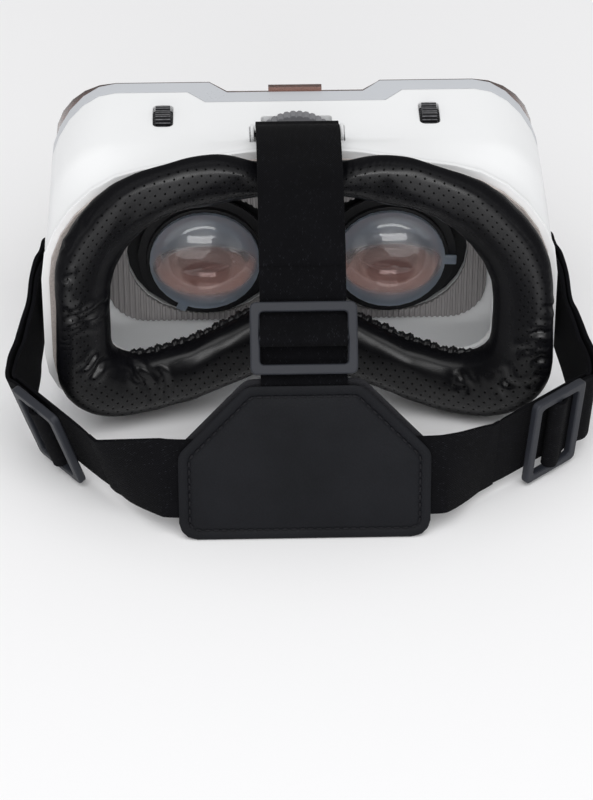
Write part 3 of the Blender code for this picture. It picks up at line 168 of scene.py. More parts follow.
def remap(tree, value, low, high, toLow, toHigh):
    inputs = {"Value": value, "From Min": low, "From Max": high, "To Min": toLow, "To Max": toHigh}
    return place(tree, 'ShaderNodeMapRange', inputs).outputs[0]


def mixColour(tree, factor, first, second, blend='MIX'):
    inputs = {0: factor, 6: first, 7: second}
    return place(tree, 'ShaderNodeMix', inputs, data_type='RGBA', blend_type=blend).outputs[2]


def cloudy(tree, spot, scale, detail):
    return place(tree, 'ShaderNodeTexNoise', {"Vector": spot, "Scale": scale, "Detail": detail}).outputs[0]


def bumped(tree, height, strength, distance=0.0003):
    inputs = {"Strength": strength, "Distance": distance, "Height": height}
    return place(tree, 'ShaderNodeBump', inputs)


def objectSpot(tree):
    return place(tree, 'ShaderNodeTexCoord').outputs["Object"]


socketKinds = {"Vector": 'Vector', "Flat": 'Vector', "Colour": 'Color'}  # the rest take plain numbers


def newGroup(name, inputs, outputs):
    tree = bpy.data.node_groups.new(name, 'ShaderNodeTree')
    for way, labels in (('INPUT', inputs), ('OUTPUT', outputs)):
        for label in labels:
            kind = 'NodeSocket' + socketKinds.get(label, 'Float')
            tree.interface.new_socket(name=label, in_out=way, socket_type=kind)
    return tree, tree.nodes.new('NodeGroupInput').outputs, tree.nodes.new('NodeGroupOutput')


def useGroup(tree, group, inputs):
    return place(tree, 'ShaderNodeGroup', inputs, node_tree=group).outputs


def buildMoulding():
    # moulded plastic: broad colour drift, fine spark-eroded grain
    tree, ins, outs = newGroup("moulding", ("Vector", "Colour", "Roughness", "Grain", "Drift"),
                               ("Colour", "Roughness", "Height"))
    broad = cloudy(tree, ins["Vector"], 26.0, 4.0)
    fine = cloudy(tree, ins["Vector"], ins["Grain"], 3.0)
    light = calc(tree, 'ADD', 1.0, ins["Drift"])
    dark = calc(tree, 'SUBTRACT', 1.0, ins["Drift"])
    shade = remap(tree, broad, 0.3, 0.7, dark, light)
    colour = mixColour(tree, 1.0, ins["Colour"], shade, 'MULTIPLY')
    mottle = remap(tree, broad, 0.3, 0.7, -0.05, 0.05)
    speckled = remap(tree, fine, 0.3, 0.7, -0.04, 0.04)
    rough = calc(tree, 'ADD', ins["Roughness"], calc(tree, 'ADD', mottle, speckled))
    feed(tree, outs, {"Colour": colour, "Roughness": rough, "Height": fine})
    return tree


def buildEdgeWear():
    # mask of rubbed edges, broken up so that it doesn't draw a line
    tree, ins, outs = newGroup("edgeWear", ("Vector", "Width"), ("Mask",))
    rounded = place(tree, 'ShaderNodeBevel', {"Radius": ins["Width"]}, samples=4).outputs[0]
    straight = place(tree, 'ShaderNodeNewGeometry').outputs["True Normal"]
    alike = calcVector(tree, 'DOT_PRODUCT', rounded, straight)["Value"]
    edge = remap(tree, alike, 0.985, 0.80, 0.0, 1.0)
    patch = cloudy(tree, ins["Vector"], 180.0, 5.0)
    feed(tree, outs, {"Mask": calc(tree, 'MULTIPLY', edge, remap(tree, patch, 0.42, 0.62, 0.0, 1.0))})
    return tree


def buildLeatherGrain():
    # pebbled leather: cells with rounded tops, softer and finer noise over them
    tree, ins, outs = newGroup("leatherGrain", ("Vector", "Pebbles"), ("Height", "Shade"))
    cells = place(tree, 'ShaderNodeTexVoronoi', {"Vector": ins["Vector"], "Scale": ins["Pebbles"]},
                  feature='DISTANCE_TO_EDGE').outputs["Distance"]
    tops = remap(tree, cells, 0.0, 0.22, 0.0, 1.0)
    fine = cloudy(tree, ins["Vector"], 900.0, 2.0)
    broad = cloudy(tree, ins["Vector"], 45.0, 3.0)
    # colour: random broad tone, with painted shade in the creases between the pebbles and a little painted
    # light on their tops
    shade = calc(tree, 'ADD', remap(tree, broad, 0.3, 0.7, 0.82, 1.12),
                 remap(tree, tops, 0.0, 1.0, -0.12, 0.04))
    feed(tree, outs, {"Height": calc(tree, 'MULTIPLY_ADD', fine, 0.35, tops), "Shade": shade})
    return tree


def buildPerforation():
    # staggered rows of punched holes, laid out on the flat cut of the leather, on its strip beside the crown
    tree, ins, outs = newGroup("perforation", ("Flat", "Crown", "Pitch", "Row", "Radius"), ("Hole", "Rim"))
    parts = place(tree, 'ShaderNodeSeparateXYZ', {0: ins["Flat"]}).outputs
    rows = calc(tree, 'DIVIDE', parts[1], ins["Row"])
    shift = calc(tree, 'MULTIPLY', calc(tree, 'FLOORED_MODULO', calc(tree, 'FLOOR', rows), 2.0), 0.5)
    columns = calc(tree, 'ADD', calc(tree, 'DIVIDE', parts[0], ins["Pitch"]), shift)
    across = calc(tree, 'MULTIPLY', calc(tree, 'SUBTRACT', calc(tree, 'FRACT', columns), 0.5), ins["Pitch"])
    along = calc(tree, 'MULTIPLY', calc(tree, 'SUBTRACT', calc(tree, 'FRACT', rows), 0.5), ins["Row"])
    squared = calc(tree, 'MULTIPLY_ADD', across, across, calc(tree, 'MULTIPLY', along, along))
    share = calc(tree, 'DIVIDE', calc(tree, 'SQRT', squared), ins["Radius"])
    strip = calc(tree, 'MULTIPLY', remap(tree, ins["Crown"], -0.0048, -0.0042, 0.0, 1.0),
                 remap(tree, ins["Crown"], 0.0070, 0.0076, 1.0, 0.0))
    feed(tree, outs, {"Hole": calc(tree, 'MULTIPLY', remap(tree, share, 1.1, 0.75, 0.0, 1.0), strip),
                      "Rim": calc(tree, 'MULTIPLY', remap(tree, share, 2.0, 1.0, 0.0, 1.0), strip)})
    return tree


def buildGathers():
    # leather drawn up over its filling: fine puckers beside the crown, and a rubbed shine along it
    tree, ins, outs = newGroup("gathers", ("Vector", "Run", "Crown", "Pitch"), ("Height", "Shine"))
    broad = cloudy(tree, ins["Vector"], 30.0, 3.0)
    bend = cloudy(tree, ins["Vector"], 140.0, 2.0)
    turn = calc(tree, 'MULTIPLY', calc(tree, 'DIVIDE', ins["Run"], ins["Pitch"]), 2 * math.pi)
    turn = calc(tree, 'MULTIPLY_ADD', bend, 9.0, turn)
    fold = calc(tree, 'MULTIPLY_ADD', calc(tree, 'SINE', turn), 0.5, 0.5)
    outside = remap(tree, ins["Crown"], 0.0015, 0.0045, 0.0, 1.0)
    faded = remap(tree, ins["Crown"], 0.0060, 0.0110, 1.0, 0.15)
    patchy = remap(tree, broad, 0.42, 0.62, 0.0, 1.0)
    here = calc(tree, 'MULTIPLY', calc(tree, 'MULTIPLY', outside, faded), patchy)
    crown = calc(tree, 'MULTIPLY', remap(tree, ins["Crown"], 0.0045, 0.0070, 1.0, 0.03),
                 remap(tree, ins["Crown"], -0.0130, -0.0060, 0.05, 1.0))
    feed(tree, outs, {"Height": calc(tree, 'MULTIPLY', fold, here),
                      "Shine": calc(tree, 'MULTIPLY', crown, remap(tree, broad, 0.3, 0.7, 0.7, 1.0))})
    return tree


def buildWeave():
    # knitted elastic: crossing yarns with the odd lighter fleck of rubber thread
    tree, ins, outs = newGroup("weave", ("Flat", "Pitch"), ("Height", "Shade", "Fleck"))
    parts = place(tree, 'ShaderNodeSeparateXYZ', {0: ins["Flat"]}).outputs
    turns = calc(tree, 'DIVIDE', 2 * math.pi, ins["Pitch"])
    lengthways = calc(tree, 'SINE', calc(tree, 'MULTIPLY', parts[0], turns))
    crossways = calc(tree, 'SINE', calc(tree, 'MULTIPLY', parts[1], calc(tree, 'MULTIPLY', turns, 1.25)))
    crossing = calc(tree, 'MULTIPLY', lengthways, crossways)
    rib = calc(tree, 'ABSOLUTE', crossways)
    height = calc(tree, 'MULTIPLY_ADD', crossing, 0.6, rib)
    cell = calcVector(tree, 'FLOOR', calcVector(tree, 'MULTIPLY', ins["Flat"], (1500.0, 1900.0, 1.0))[0])[0]
    chance = place(tree, 'ShaderNodeTexWhiteNoise', {"Vector": cell}, noise_dimensions='3D').outputs["Value"]
    broad = cloudy(tree, ins["Flat"], 70.0, 3.0)
    # colour: random broad tone, with painted shade in the valleys between the yarns and painted light on their
    # tops
    shade = calc(tree, 'ADD', remap(tree, broad, 0.3, 0.7, 0.8, 1.1),
                 remap(tree, height, -0.6, 1.6, -0.25, 0.2))
    fleck = calc(tree, 'MULTIPLY', remap(tree, chance, 0.90, 0.96, 0.0, 1.0),
                 remap(tree, height, 0.4, 1.2, 0.0, 1.0))
    feed(tree, outs, {"Height": height, "Shade": shade, "Fleck": fleck})
    return tree


moulding = buildMoulding()
edgeWear = buildEdgeWear()
leatherGrain = buildLeatherGrain()
perforation = buildPerforation()
gathers = buildGathers()
weave = buildWeave()
print("shader groups built")


def newFinish(name):
    finish = bpy.data.materials.new(name)
    finish.use_nodes = True
    tree = finish.node_tree
    return finish, tree, tree.nodes["Principled BSDF"]


def mouldedFinish(name, look):
    finish, tree, shader = newFinish(name)
    spot = objectSpot(tree)
    body = useGroup(tree, moulding, {"Vector": spot, "Colour": look["colour"], "Roughness": look["rough"],
                                     "Grain": look["grain"], "Drift": look["drift"]})
    worn = useGroup(tree, edgeWear, {"Vector": spot, "Width": look["round"]})["Mask"]
    worn = calc(tree, 'MULTIPLY', worn, look["wear"])
    soft = place(tree, 'ShaderNodeBevel', {"Radius": look["round"]}, samples=6).outputs[0]
    bump = bumped(tree, body["Height"], look["bump"], 0.0002)
    feed(tree, bump, {"Normal": soft})
    feed(tree, shader, {"Base Color": mixColour(tree, worn, body["Colour"], look["worn"]),
                        "Roughness": body["Roughness"], "Normal": bump.outputs[0],
                        "Specular IOR Level": look["specular"], "Metallic": look["metal"]})
    return finish


plasticBase = {"wear": 0.5, "bump": 0.10, "specular": 0.5, "metal": 0.0}
plasticLooks = {
    "white_shell": {
        "colour": paint(242, 243, 244), "worn": paint(225, 224, 221), "rough": 0.38, "grain": 1400.0,
        "drift": 0.012, "round": 0.0006, "wear": 0.4, "bump": 0.08, "specular": 0.45},
    "grey_trim": {
        "colour": paint(199, 202, 207), "worn": paint(214, 216, 219), "rough": 0.34, "grain": 1200.0,
        "drift": 0.02, "round": 0.0005},
    "black_plastic": {
        "colour": paint(21, 21, 23), "worn": paint(60, 60, 63), "rough": 0.42, "grain": 1300.0,
        "drift": 0.10, "round": 0.0004, "bump": 0.18, "specular": 0.35},
    "baffle_grey": {
        "colour": paint(146, 143, 143), "worn": paint(170, 168, 166), "rough": 0.55, "grain": 1500.0,
        "drift": 0.03, "round": 0.0003, "wear": 0.3, "bump": 0.12, "specular": 0.3},
    "buckle_grey": {
        "colour": paint(38, 40, 46), "worn": paint(92, 95, 103), "rough": 0.46, "grain": 1000.0,
        "drift": 0.06, "round": 0.0007, "bump": 0.16, "specular": 0.25},
    "steel": {
        "colour": paint(176, 177, 180), "worn": paint(214, 214, 216), "rough": 0.30, "grain": 1600.0,
        "drift": 0.05, "round": 0.0003, "metal": 1.0},
}
finishes = {}
for slot, look in plasticLooks.items():
    finishes[slot] = mouldedFinish(slot + " finish", {**plasticBase, **look})

# the near-black colour for the perforations is painted shade inside them
leatherLook = {"colour": paint(11, 11, 14), "hole": paint(2, 2, 2), "rough": 0.42, "pebbles": 620.0,
               "pitch": 0.0033, "row": 0.0020, "radius": 0.00038, "specular": 0.06, "shine": 1.0,
               "gather": 0.0027}
pleatLook = {"colour": paint(12, 12, 15), "rough": 0.36, "pebbles": 800.0, "specular": 0.35}
padLook = {"colour": paint(18, 19, 23), "rough": 0.55, "pebbles": 1100.0, "specular": 0.12}


def leatherFinish(name, look):
    finish, tree, shader = newFinish(name)
    spot = objectSpot(tree)
    grain = useGroup(tree, leatherGrain, {"Vector": spot, "Pebbles": look["pebbles"]})
    # the grain's tone, with its painted crease shade, multiplies the colour
    colour = mixColour(tree, 1.0, look["colour"], grain["Shade"], 'MULTIPLY')
    height = calc(tree, 'MULTIPLY', grain["Height"], 0.25)
    rough = remap(tree, grain["Shade"], 0.7, 1.2, look["rough"] + 0.08, look["rough"] - 0.06)
    if "pitch" in look:
        flat = place(tree, 'ShaderNodeUVMap', uv_map="flatCut").outputs[0]
        crown = place(tree, 'ShaderNodeAttribute', attribute_name="fromCrown").outputs["Fac"]
        run = place(tree, 'ShaderNodeAttribute', attribute_name="ringRun").outputs["Fac"]
        holes = useGroup(tree, perforation, {"Flat": flat, "Crown": crown, "Pitch": look["pitch"],
                                             "Row": look["row"], "Radius": look["radius"]})
        # holes painted near black: painted shade inside the punched holes
        colour = mixColour(tree, holes["Hole"], colour, look["hole"])
        height = calc(tree, 'SUBTRACT', height, calc(tree, 'MULTIPLY_ADD', holes["Rim"], 0.5, holes["Hole"]))
        rough = calc(tree, 'MULTIPLY_ADD', holes["Hole"], 0.4, rough)
        puckers = useGroup(tree, gathers, {"Vector": spot, "Run": run, "Crown": crown, "Pitch": look["gather"]})
        height = calc(tree, 'MULTIPLY_ADD', puckers["Height"], 1.6, height)
        shine = calc(tree, 'MULTIPLY', puckers["Shine"], calc(tree, 'SUBTRACT', look["shine"], holes["Hole"]))
        feed(tree, shader, {"Coat Weight": shine, "Coat Roughness": 0.27})
    bump = bumped(tree, height, 0.6).outputs[0]
    feed(tree, shader, {"Base Color": colour, "Roughness": rough, "Normal": bump,
                        "Specular IOR Level": look["specular"]})
    return finish


webbingLook = {"colour": paint(11, 11, 14), "fleck": paint(64, 66, 72), "pitch": 0.0011, "rough": 0.85}


def webbingFinish(name, look):
    finish, tree, shader = newFinish(name)
    flat = place(tree, 'ShaderNodeUVMap', uv_map="flatCut").outputs[0]
    yarn = useGroup(tree, weave, {"Flat": flat, "Pitch": look["pitch"]})
    # the weave's tone, with its painted shade and light, multiplies the colour
    colour = mixColour(tree, 1.0, look["colour"], yarn["Shade"], 'MULTIPLY')
    colour = mixColour(tree, calc(tree, 'MULTIPLY', yarn["Fleck"], 0.25), colour, look["fleck"])
    rough = remap(tree, yarn["Height"], -0.6, 1.6, look["rough"] + 0.1, look["rough"] - 0.1)
    bump = bumped(tree, yarn["Height"], 0.7).outputs[0]
    feed(tree, shader, {"Base Color": colour, "Roughness": rough, "Normal": bump, "Specular IOR Level": 0.06,
                        "Sheen Weight": 0.01, "Sheen Roughness": 0.5})
    return finish


def foamFinish(name, colour):
    finish, tree, shader = newFinish(name)
    spot = objectSpot(tree)
    cells = place(tree, 'ShaderNodeTexVoronoi', {"Vector": spot, "Scale": 1500.0}).outputs["Distance"]
    broad = cloudy(tree, spot, 60.0, 4.0)
    # colour: random broad tone, darker in the pores as painted shade
    shade = calc(tree, 'ADD', remap(tree, broad, 0.3, 0.7, 0.7, 1.0), remap(tree, cells, 0.0, 0.6, 0.0, 0.3))
    bump = bumped(tree, cells, 0.5).outputs[0]
    feed(tree, shader, {"Base Color": mixColour(tree, 1.0, colour, shade, 'MULTIPLY'), "Normal": bump,
                        "Roughness": remap(tree, cells, 0.0, 0.6, 0.95, 0.8), "Specular IOR Level": 0.15})
    return finish


doorLook = {"colour": paint(150, 114, 104), "rough": 0.16}


def doorFinish(name, look):
    # smoked brown see-through plastic, a little hazed
    finish, tree, shader = newFinish(name)
    spot = objectSpot(tree)
    body = useGroup(tree, moulding, {"Vector": spot, "Colour": look["colour"], "Roughness": look["rough"],
                                     "Grain": 700.0, "Drift": 0.06})
    bump = bumped(tree, body["Height"], 0.05, 0.0002).outputs[0]
    feed(tree, shader, {"Base Color": body["Colour"], "Roughness": body["Roughness"], "Normal": bump,
                        "Transmission Weight": 0.85, "IOR": 1.5})
    return finish


# the third colour is painted shade at the lens centre
lensLook = {"colour": paint(246, 232, 230), "rim": paint(206, 220, 236), "centreShade": paint(190, 166, 164),
            "rough": 0.02, "smear": 0.03, "rimRough": 0.38, "clear": 0.88, "frosted": 1.10,
            "window": (1 / 0.0185, 0.0, 1 / 0.0112), "drop": 0.0018}


def lensFinish(name, look, side):
    # clear in a wide window, hazed by its moulding over and under it
    finish, tree, shader = newFinish(name)
    low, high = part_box(side + "_lens")
    spot = objectSpot(tree)
    smear = cloudy(tree, spot, 55.0, 5.0)
    middle = (low + high) / 2 - Vector((0.0, 0.0, look["drop"]))
    away = calcVector(tree, 'SUBTRACT', spot, middle)[0]
    flat = calcVector(tree, 'MULTIPLY', away, look["window"])[0]
    reach = calcVector(tree, 'LENGTH', flat)["Value"]
    haze = remap(tree, reach, look["clear"], look["frosted"], 0.0, 1.0)
    rough = remap(tree, smear, 0.45, 0.75, look["rough"], look["rough"] + look["smear"])
    rough = calc(tree, 'MULTIPLY_ADD', haze, look["rimRough"], rough)
    tint = remap(tree, smear, 0.3, 0.7, 0.97, 1.0)
    # darker centre painted into the glass: painted shade standing in for the dark image seen through the lens
    centreShade = mixColour(tree, remap(tree, reach, 0.44, 0.52, 1.0, 0.0), look["colour"], look["centreShade"])
    colour = mixColour(tree, 1.0, mixColour(tree, haze, centreShade, look["rim"]), tint, 'MULTIPLY')
    feed(tree, shader, {"Base Color": colour, "Roughness": rough, "Transmission Weight": 0.88, "IOR": 1.49,
                        "Coat Weight": 0.8, "Coat Roughness": 0.04})
    return finish


# the rib colour is the pale grey of the painted highlights along the raised lines
sliderLook = {"colour": paint(22, 22, 25), "rib": paint(128, 128, 132), "pitch": 0.0015, "rough": 0.4}


def ribbedFinish(name, look):
    # fine raised lines across the thumb piece, with painted highlights in pale grey along their tops
    finish, tree, shader = newFinish(name)
    spot = objectSpot(tree)
    parts = place(tree, 'ShaderNodeSeparateXYZ', {0: spot}).outputs
    run = calc(tree, 'DIVIDE', calc(tree, 'ADD', parts[1], parts[2]), look["pitch"])
    crest = calc(tree, 'ABSOLUTE', calc(tree, 'SUBTRACT', calc(tree, 'FRACT', run), 0.5))
    mottle = cloudy(tree, spot, 700.0, 3.0)
    # mask of the painted highlights along the rib tops, broken up by noise
    line = calc(tree, 'MULTIPLY', remap(tree, crest, 0.08, 0.2, 1.0, 0.0),
                remap(tree, mottle, 0.3, 0.6, 0.4, 1.0))
    bump = bumped(tree, line, 0.6).outputs[0]
    feed(tree, shader, {"Base Color": mixColour(tree, line, look["colour"], look["rib"]), "Normal": bump,
                        "Roughness": remap(tree, mottle, 0.3, 0.7, look["rough"], look["rough"] + 0.1),
                        "Specular IOR Level": 0.4})
    return finish


finishes["black_leather"] = leatherFinish("cushion leather", leatherLook)
finishes["pad_leather"] = leatherFinish("back pad leather", padLook)
finishes["pleats"] = leatherFinish("pleated leather", pleatLook)
finishes["black_webbing"] = webbingFinish("elastic webbing", webbingLook)
finishes["foam_lining"] = foamFinish("foam lining", paint(34, 34, 37))
finishes["smoked_door"] = doorFinish("smoked door plastic", doorLook)
for side in ("left", "right"):
    finishes[side + "_lens"] = lensFinish(side + " lens", lensLook, side)
    finishes[side + "_focus_slider"] = ribbedFinish(side + " slider finish", sliderLook)
# the band beside the lip is painted taupe: painted shade, the darker colour the band shows where it lies in
# shadow
finishes["cushion_backing"] = foamFinish("shaded taupe band", paint(178, 170, 166))
wheelLook = {"colour": paint(118, 118, 122), "worn": paint(158, 158, 162)}
finishes["ipd_wheel"] = mouldedFinish("wheel finish", {**plasticBase, **plasticLooks["grey_trim"], **wheelLook})
finishes["thread"] = foamFinish("sewing thread", paint(24, 24, 27))
print("finishes built:", len(finishes))

slotOf = {name: node.material_slots[0].material.name for name, node in nodes.items()}
for name, node in nodes.items():  # every carried-over solid takes its finish
    node.material_slots[0].material = finishes.get(name) or finishes[slotOf[name]]


def smoothCopy(name, pieceName, angle, edge):
    # the solid again, welded and smooth, so that its curves don't show their facets
    piece = bpy.data.objects.new(pieceName, nodes[name].data.copy())
    bpy.context.scene.collection.objects.link(piece)
    pickOnly(piece)
    bpy.ops.mesh.customdata_custom_splitnormals_clear()
    editAll(piece)
    bpy.ops.mesh.remove_doubles(threshold=weldGap)
    bpy.ops.mesh.dissolve_limited(angle_limit=math.radians(0.3))
    bpy.ops.object.mode_set(mode='OBJECT')
    if edge:
        addModifier(piece, 'BEVEL', width=edge, segments=2, limit_method='ANGLE',
                    angle_limit=math.radians(angle))
    shadeSmooth(piece, angle)
    addModifier(piece, 'WEIGHTED_NORMAL', keep_sharp=True)
    dress(piece, finishes.get(name) or finishes[slotOf[name]])
    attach(piece, nodes[name]["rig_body"])
    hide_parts(name)


buckleEdge = 0.0005
smoothPieces = {
    "main_shell": ("shellSkin", 40.0), "front_bezel": ("frontBand", 35.0),
    "front_door": ("doorSkin", 40.0), "face_frame": ("faceLip", 40.0),
    "ipd_wheel": ("eyeWheelSkin", 30.0), "lens_board": ("innerWall", 35.0),
    "ribbed_panel": ("ribbedBaffle", 35.0), "cushion_backing": ("cushionShadedBand", 35.0),
}
for part, skin, angle in (("_lens_holder", "LensTube", 40.0), ("_lens", "LensGlass", 50.0),
                          ("_buckle", "BuckleSkin", 35.0), ("_focus_slider", "FocusThumb", 35.0)):
    for side in ("left", "right", "top"):
        if side + part in nodes:
            smoothPieces[side + part] = (side + skin, angle)
for name, (pieceName, angle) in smoothPieces.items():
    smoothCopy(name, pieceName, angle, buckleEdge if name.endswith("_buckle") else 0.0)
print("smooth pieces:", len(smoothPieces))


def welded(name):
    shape = bmesh.new()
    shape.from_mesh(nodes[name].data)
    bmesh.ops.remove_doubles(shape, verts=shape.verts, dist=weldGap)
    return shape


# straps

strapLook = {
    "thickness": 0.00125,
    "columns": (-0.0150, -0.01485, -0.0144, -0.0125, -0.0085, -0.0042, 0.0,
                0.0042, 0.0085, 0.0125, 0.0144, 0.01485, 0.0150),
    "finer": 2,
    "gives": (0.62, 0.26),  # the stretch of a folded layer that follows its buckle, as shares of its length
}


def ribbonStations(name, near):
    # edge points of a strap solid, one pair for each of its rings, from the end that lies near a point
    shape = welded(name)
    bmesh.ops.dissolve_limit(shape, angle_limit=math.radians(1.0), verts=[], edges=shape.edges)
    square = math.radians(60.0)
    caps = [face for face in shape.faces
            if len(face.verts) == 4 and all(edge.calc_face_angle(0.0) > square for edge in face.edges)]
    cap = min(caps, key=lambda face: (face.calc_center_median() - Vector(near)).length)
    ring = list(cap.verts)
    if (ring[0].co - ring[1].co).length < (ring[1].co - ring[2].co).length:
        ring = ring[1:] + ring[:1]
    seen = set(ring)
    stations = []
    while ring:
        stations.append(((ring[0].co + ring[3].co) / 2, (ring[1].co + ring[2].co) / 2))
        onward = {edge.other_vert(vert) for vert in ring for edge in vert.link_edges} - seen
        seen |= onward
        ring = min(permutations(onward, 4), default=[],
                   key=lambda order: sum((one.co - two.co).length for one, two in zip(ring, order)))
    shape.free()
    return stations


def between(points, where):
    # smooth curve through the points, at a place counted in points
    index = min(int(where), len(points) - 2)
    share = where - index
    before, here = points[max(index - 1, 0)], points[index]
    there, after = points[index + 1], points[min(index + 2, len(points) - 1)]
    slopeIn, slopeOut = (there - before) / 2, (after - here) / 2
    square, cube = share * share, share ** 3
    return (here * (2 * cube - 3 * square + 1) + slopeIn * (cube - 2 * square + share)
            + there * (3 * square - 2 * cube) + slopeOut * (cube - square))


def runsAlong(line):
    # how far along a line each of its points lies
    runs = [0.0]
    for first, second in zip(line, line[1:]):
        runs.append(runs[-1] + (second - first).length)
    return runs


def addStrap(name, pieceName, near):
    stations = ribbonStations(name, near)
    low, high = zip(*stations)
    steps = (len(stations) - 1) * strapLook["finer"]
    columns = strapLook["columns"]
    bpy.ops.mesh.primitive_grid_add(x_subdivisions=steps, y_subdivisions=len(columns) - 1, size=1.0)
    piece = newPiece(pieceName)
    width = columns[-1] - columns[0]
    places = [step / strapLook["finer"] for step in range(steps + 1)]
    rows = [(between(low, where), between(high, where)) for where in places]
    lengths = runsAlong([(first + second) / 2 for first, second in rows])
    spots = {}
    for vert in piece.data.vertices:  # each grid row goes to its place along the strap
        step = round((vert.co.x + 0.5) * steps)
        column = round((vert.co.y + 0.5) * (len(columns) - 1))
        share = (columns[column] - columns[0]) / width
        vert.co = rows[step][0].lerp(rows[step][1], share)
        spots[vert.index] = (lengths[step], columns[column])
    layFlat(piece, spots)
    addModifier(piece, 'SOLIDIFY', thickness=strapLook["thickness"], offset=0.0)
    addModifier(piece, 'SUBSURF', levels=1, render_levels=1)
    faceOutwards(piece)
    shadeSmooth(piece, 50)
    dress(piece, finishes["black_webbing"])
    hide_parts(name)
    return piece, [(first + second) / 2 for first, second in stations]


padMiddle = sum(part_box("back_pad_cover"), Vector()) / 2
for side in ("left", "right", "top"):
    strap, _ = addStrap(side + "_strap", side + "StrapWeb", padMiddle)
    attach(strap, "headset")
    buckleMiddle = sum(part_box(side + "_buckle"), Vector()) / 2
    turned, line = addStrap(side + "_strap_return", side + "StrapFold", buckleMiddle)
    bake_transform(turned)
print("straps woven: 3, with their folded layers")


# the camera stands where the photo was taken from
cameraPlace = {"spot": (-0.02664, -1.03731, 0.68790), "tilt": 55.535, "turn": -1.479, "lens": 146.88,
               "sensor": 36.0, "frame": (593, 800)}
cameraTurn = Euler((math.radians(cameraPlace["tilt"]), 0.0, math.radians(cameraPlace["turn"])))


# face cushion

cushionLook = {
    "middle": (0.0, 0.060), "rays": 240, "stations": 256, "points": 44, "reach": 0.034, "apart": 0.00005,
    "lineEvening": 6, "pullEvening": 12, "glued": 0.1, "free": 0.6, "crown": 0.57,
    "frames": 18, "cap": 0.0025, "pinned": 0.0022, "evened": 2,
    "cloth": {"quality": 6, "mass": 0.15, "tension_stiffness": 18.0, "compression_stiffness": 18.0,
              "bending_stiffness": 2.5, "use_pressure": True, "uniform_pressure_force": 4.0,
              "shrink_min": -0.003},
    # folds in the leather: both ends as seen in the photo, in pixels, and a depth in mm
    "creases": ((62, 320, 109, 301, 1.1), (61, 310, 82, 312, 0.8), (70, 326, 102, 320, 0.6),
                (61, 275, 74, 282, 0.8), (60, 250, 72, 244, 0.8), (107, 357, 87, 377, 1.1),
                (97, 352, 77, 372, 0.6), (127, 362, 145, 382, 0.7), (160, 365, 167, 400, 0.8),
                (137, 365, 150, 402, 0.6), (80, 230, 92, 207, 0.5), (553, 304, 541, 309, 0.8),
                (551, 329, 529, 333, 0.9), (534, 345, 516, 355, 0.7), (551, 355, 531, 360, 0.8),
                (498, 368, 516, 388, 1.0), (493, 370, 503, 401, 0.7), (462, 368, 467, 396, 0.7),
                (452, 378, 462, 388, 0.5), (541, 380, 524, 386, 0.8)),
    # where the leather is pulled: angle round the face, then how far out its outer and inner edges go, in mm
    "pulls": ((0, -0.5, 1.0), (20, -1.0, 1.0), (30, 4.0, 2.5), (40, 8.5, 5.0), (55, 7.0, 6.0), (65, 3.0, 5.5),
              (75, 0.0, 4.5), (90, -0.5, 4.0), (105, 0.0, 4.5), (115, 3.5, 5.5), (125, 8.5, 6.5),
              (140, 9.5, 6.0), (150, 6.5, 4.0), (160, 0.0, 2.5), (180, -4.0, -1.0), (200, -2.5, -1.0),
              (210, -0.5, -2.5), (220, -1.5, -4.5), (235, 1.5, -3.5), (270, 2.0, -4.0), (305, 2.0, -3.0),
              (315, 0.0, -3.5), (330, 2.0, -1.0), (345, 0.5, 0.5), (360, -0.5, 1.0)),
}


def sliceRing(edges, origin, normal):
    # where a plane cuts the cushion solid
    points = []
    for first, second in edges:
        low, high = (first - origin).dot(normal), (second - origin).dot(normal)
        if low * high < 0:
            points.append(first.lerp(second, low / (low - high)))
    return points


def measure(points, here, out, face):
    # how far each point lies outwards, and how far towards the wearer
    return [(point - here).dot(out) for point in points], [(point - here).dot(face) for point in points]


def halfway(values):
    return (min(values) + max(values)) / 2


def evenOut(ring, times):
    # each value of a closed ring drawn towards its neighbours
    for _ in range(times):
        ring = [(ring[index - 1] + ring[index] * 2 + ring[(index + 1) % len(ring)]) / 4
                for index in range(len(ring))]
    return ring


def evenly(points, count, closed=False):
    line = list(points) + ([points[0]] if closed else [])
    runs = runsAlong(line)
    picked, index = [], 0
    for step in range(count):
        target = runs[-1] * step / (count if closed else count - 1)
        while index < len(runs) - 2 and runs[index + 1] < target:
            index += 1
        share = (target - runs[index]) / max(runs[index + 1] - runs[index], 1e-9)
        picked.append(line[index].lerp(line[index + 1], share))
    return picked, runs[-1]


def cushionLine(edges, look):
    # middle line of the padded ring, all the way round
    middle = Vector((look["middle"][0], 0.0, look["middle"][1]))
    line = []
    for step in range(look["rays"]):
        angle = 2 * math.pi * step / look["rays"] + math.pi / 2
        out = Vector((math.cos(angle), 0.0, math.sin(angle)))
        flat = Vector((-out.z, 0.0, out.x))
        cut = [point for point in sliceRing(edges, middle, flat) if (point - middle).dot(out) > 0]
        reaches = [(point - middle).dot(out) for point in cut]
        line.append(middle + out * halfway(reaches) + Vector((0.0, halfway([point.y for point in cut]), 0.0)))
    return evenly(evenOut(line, look["lineEvening"]), look["stations"], closed=True)


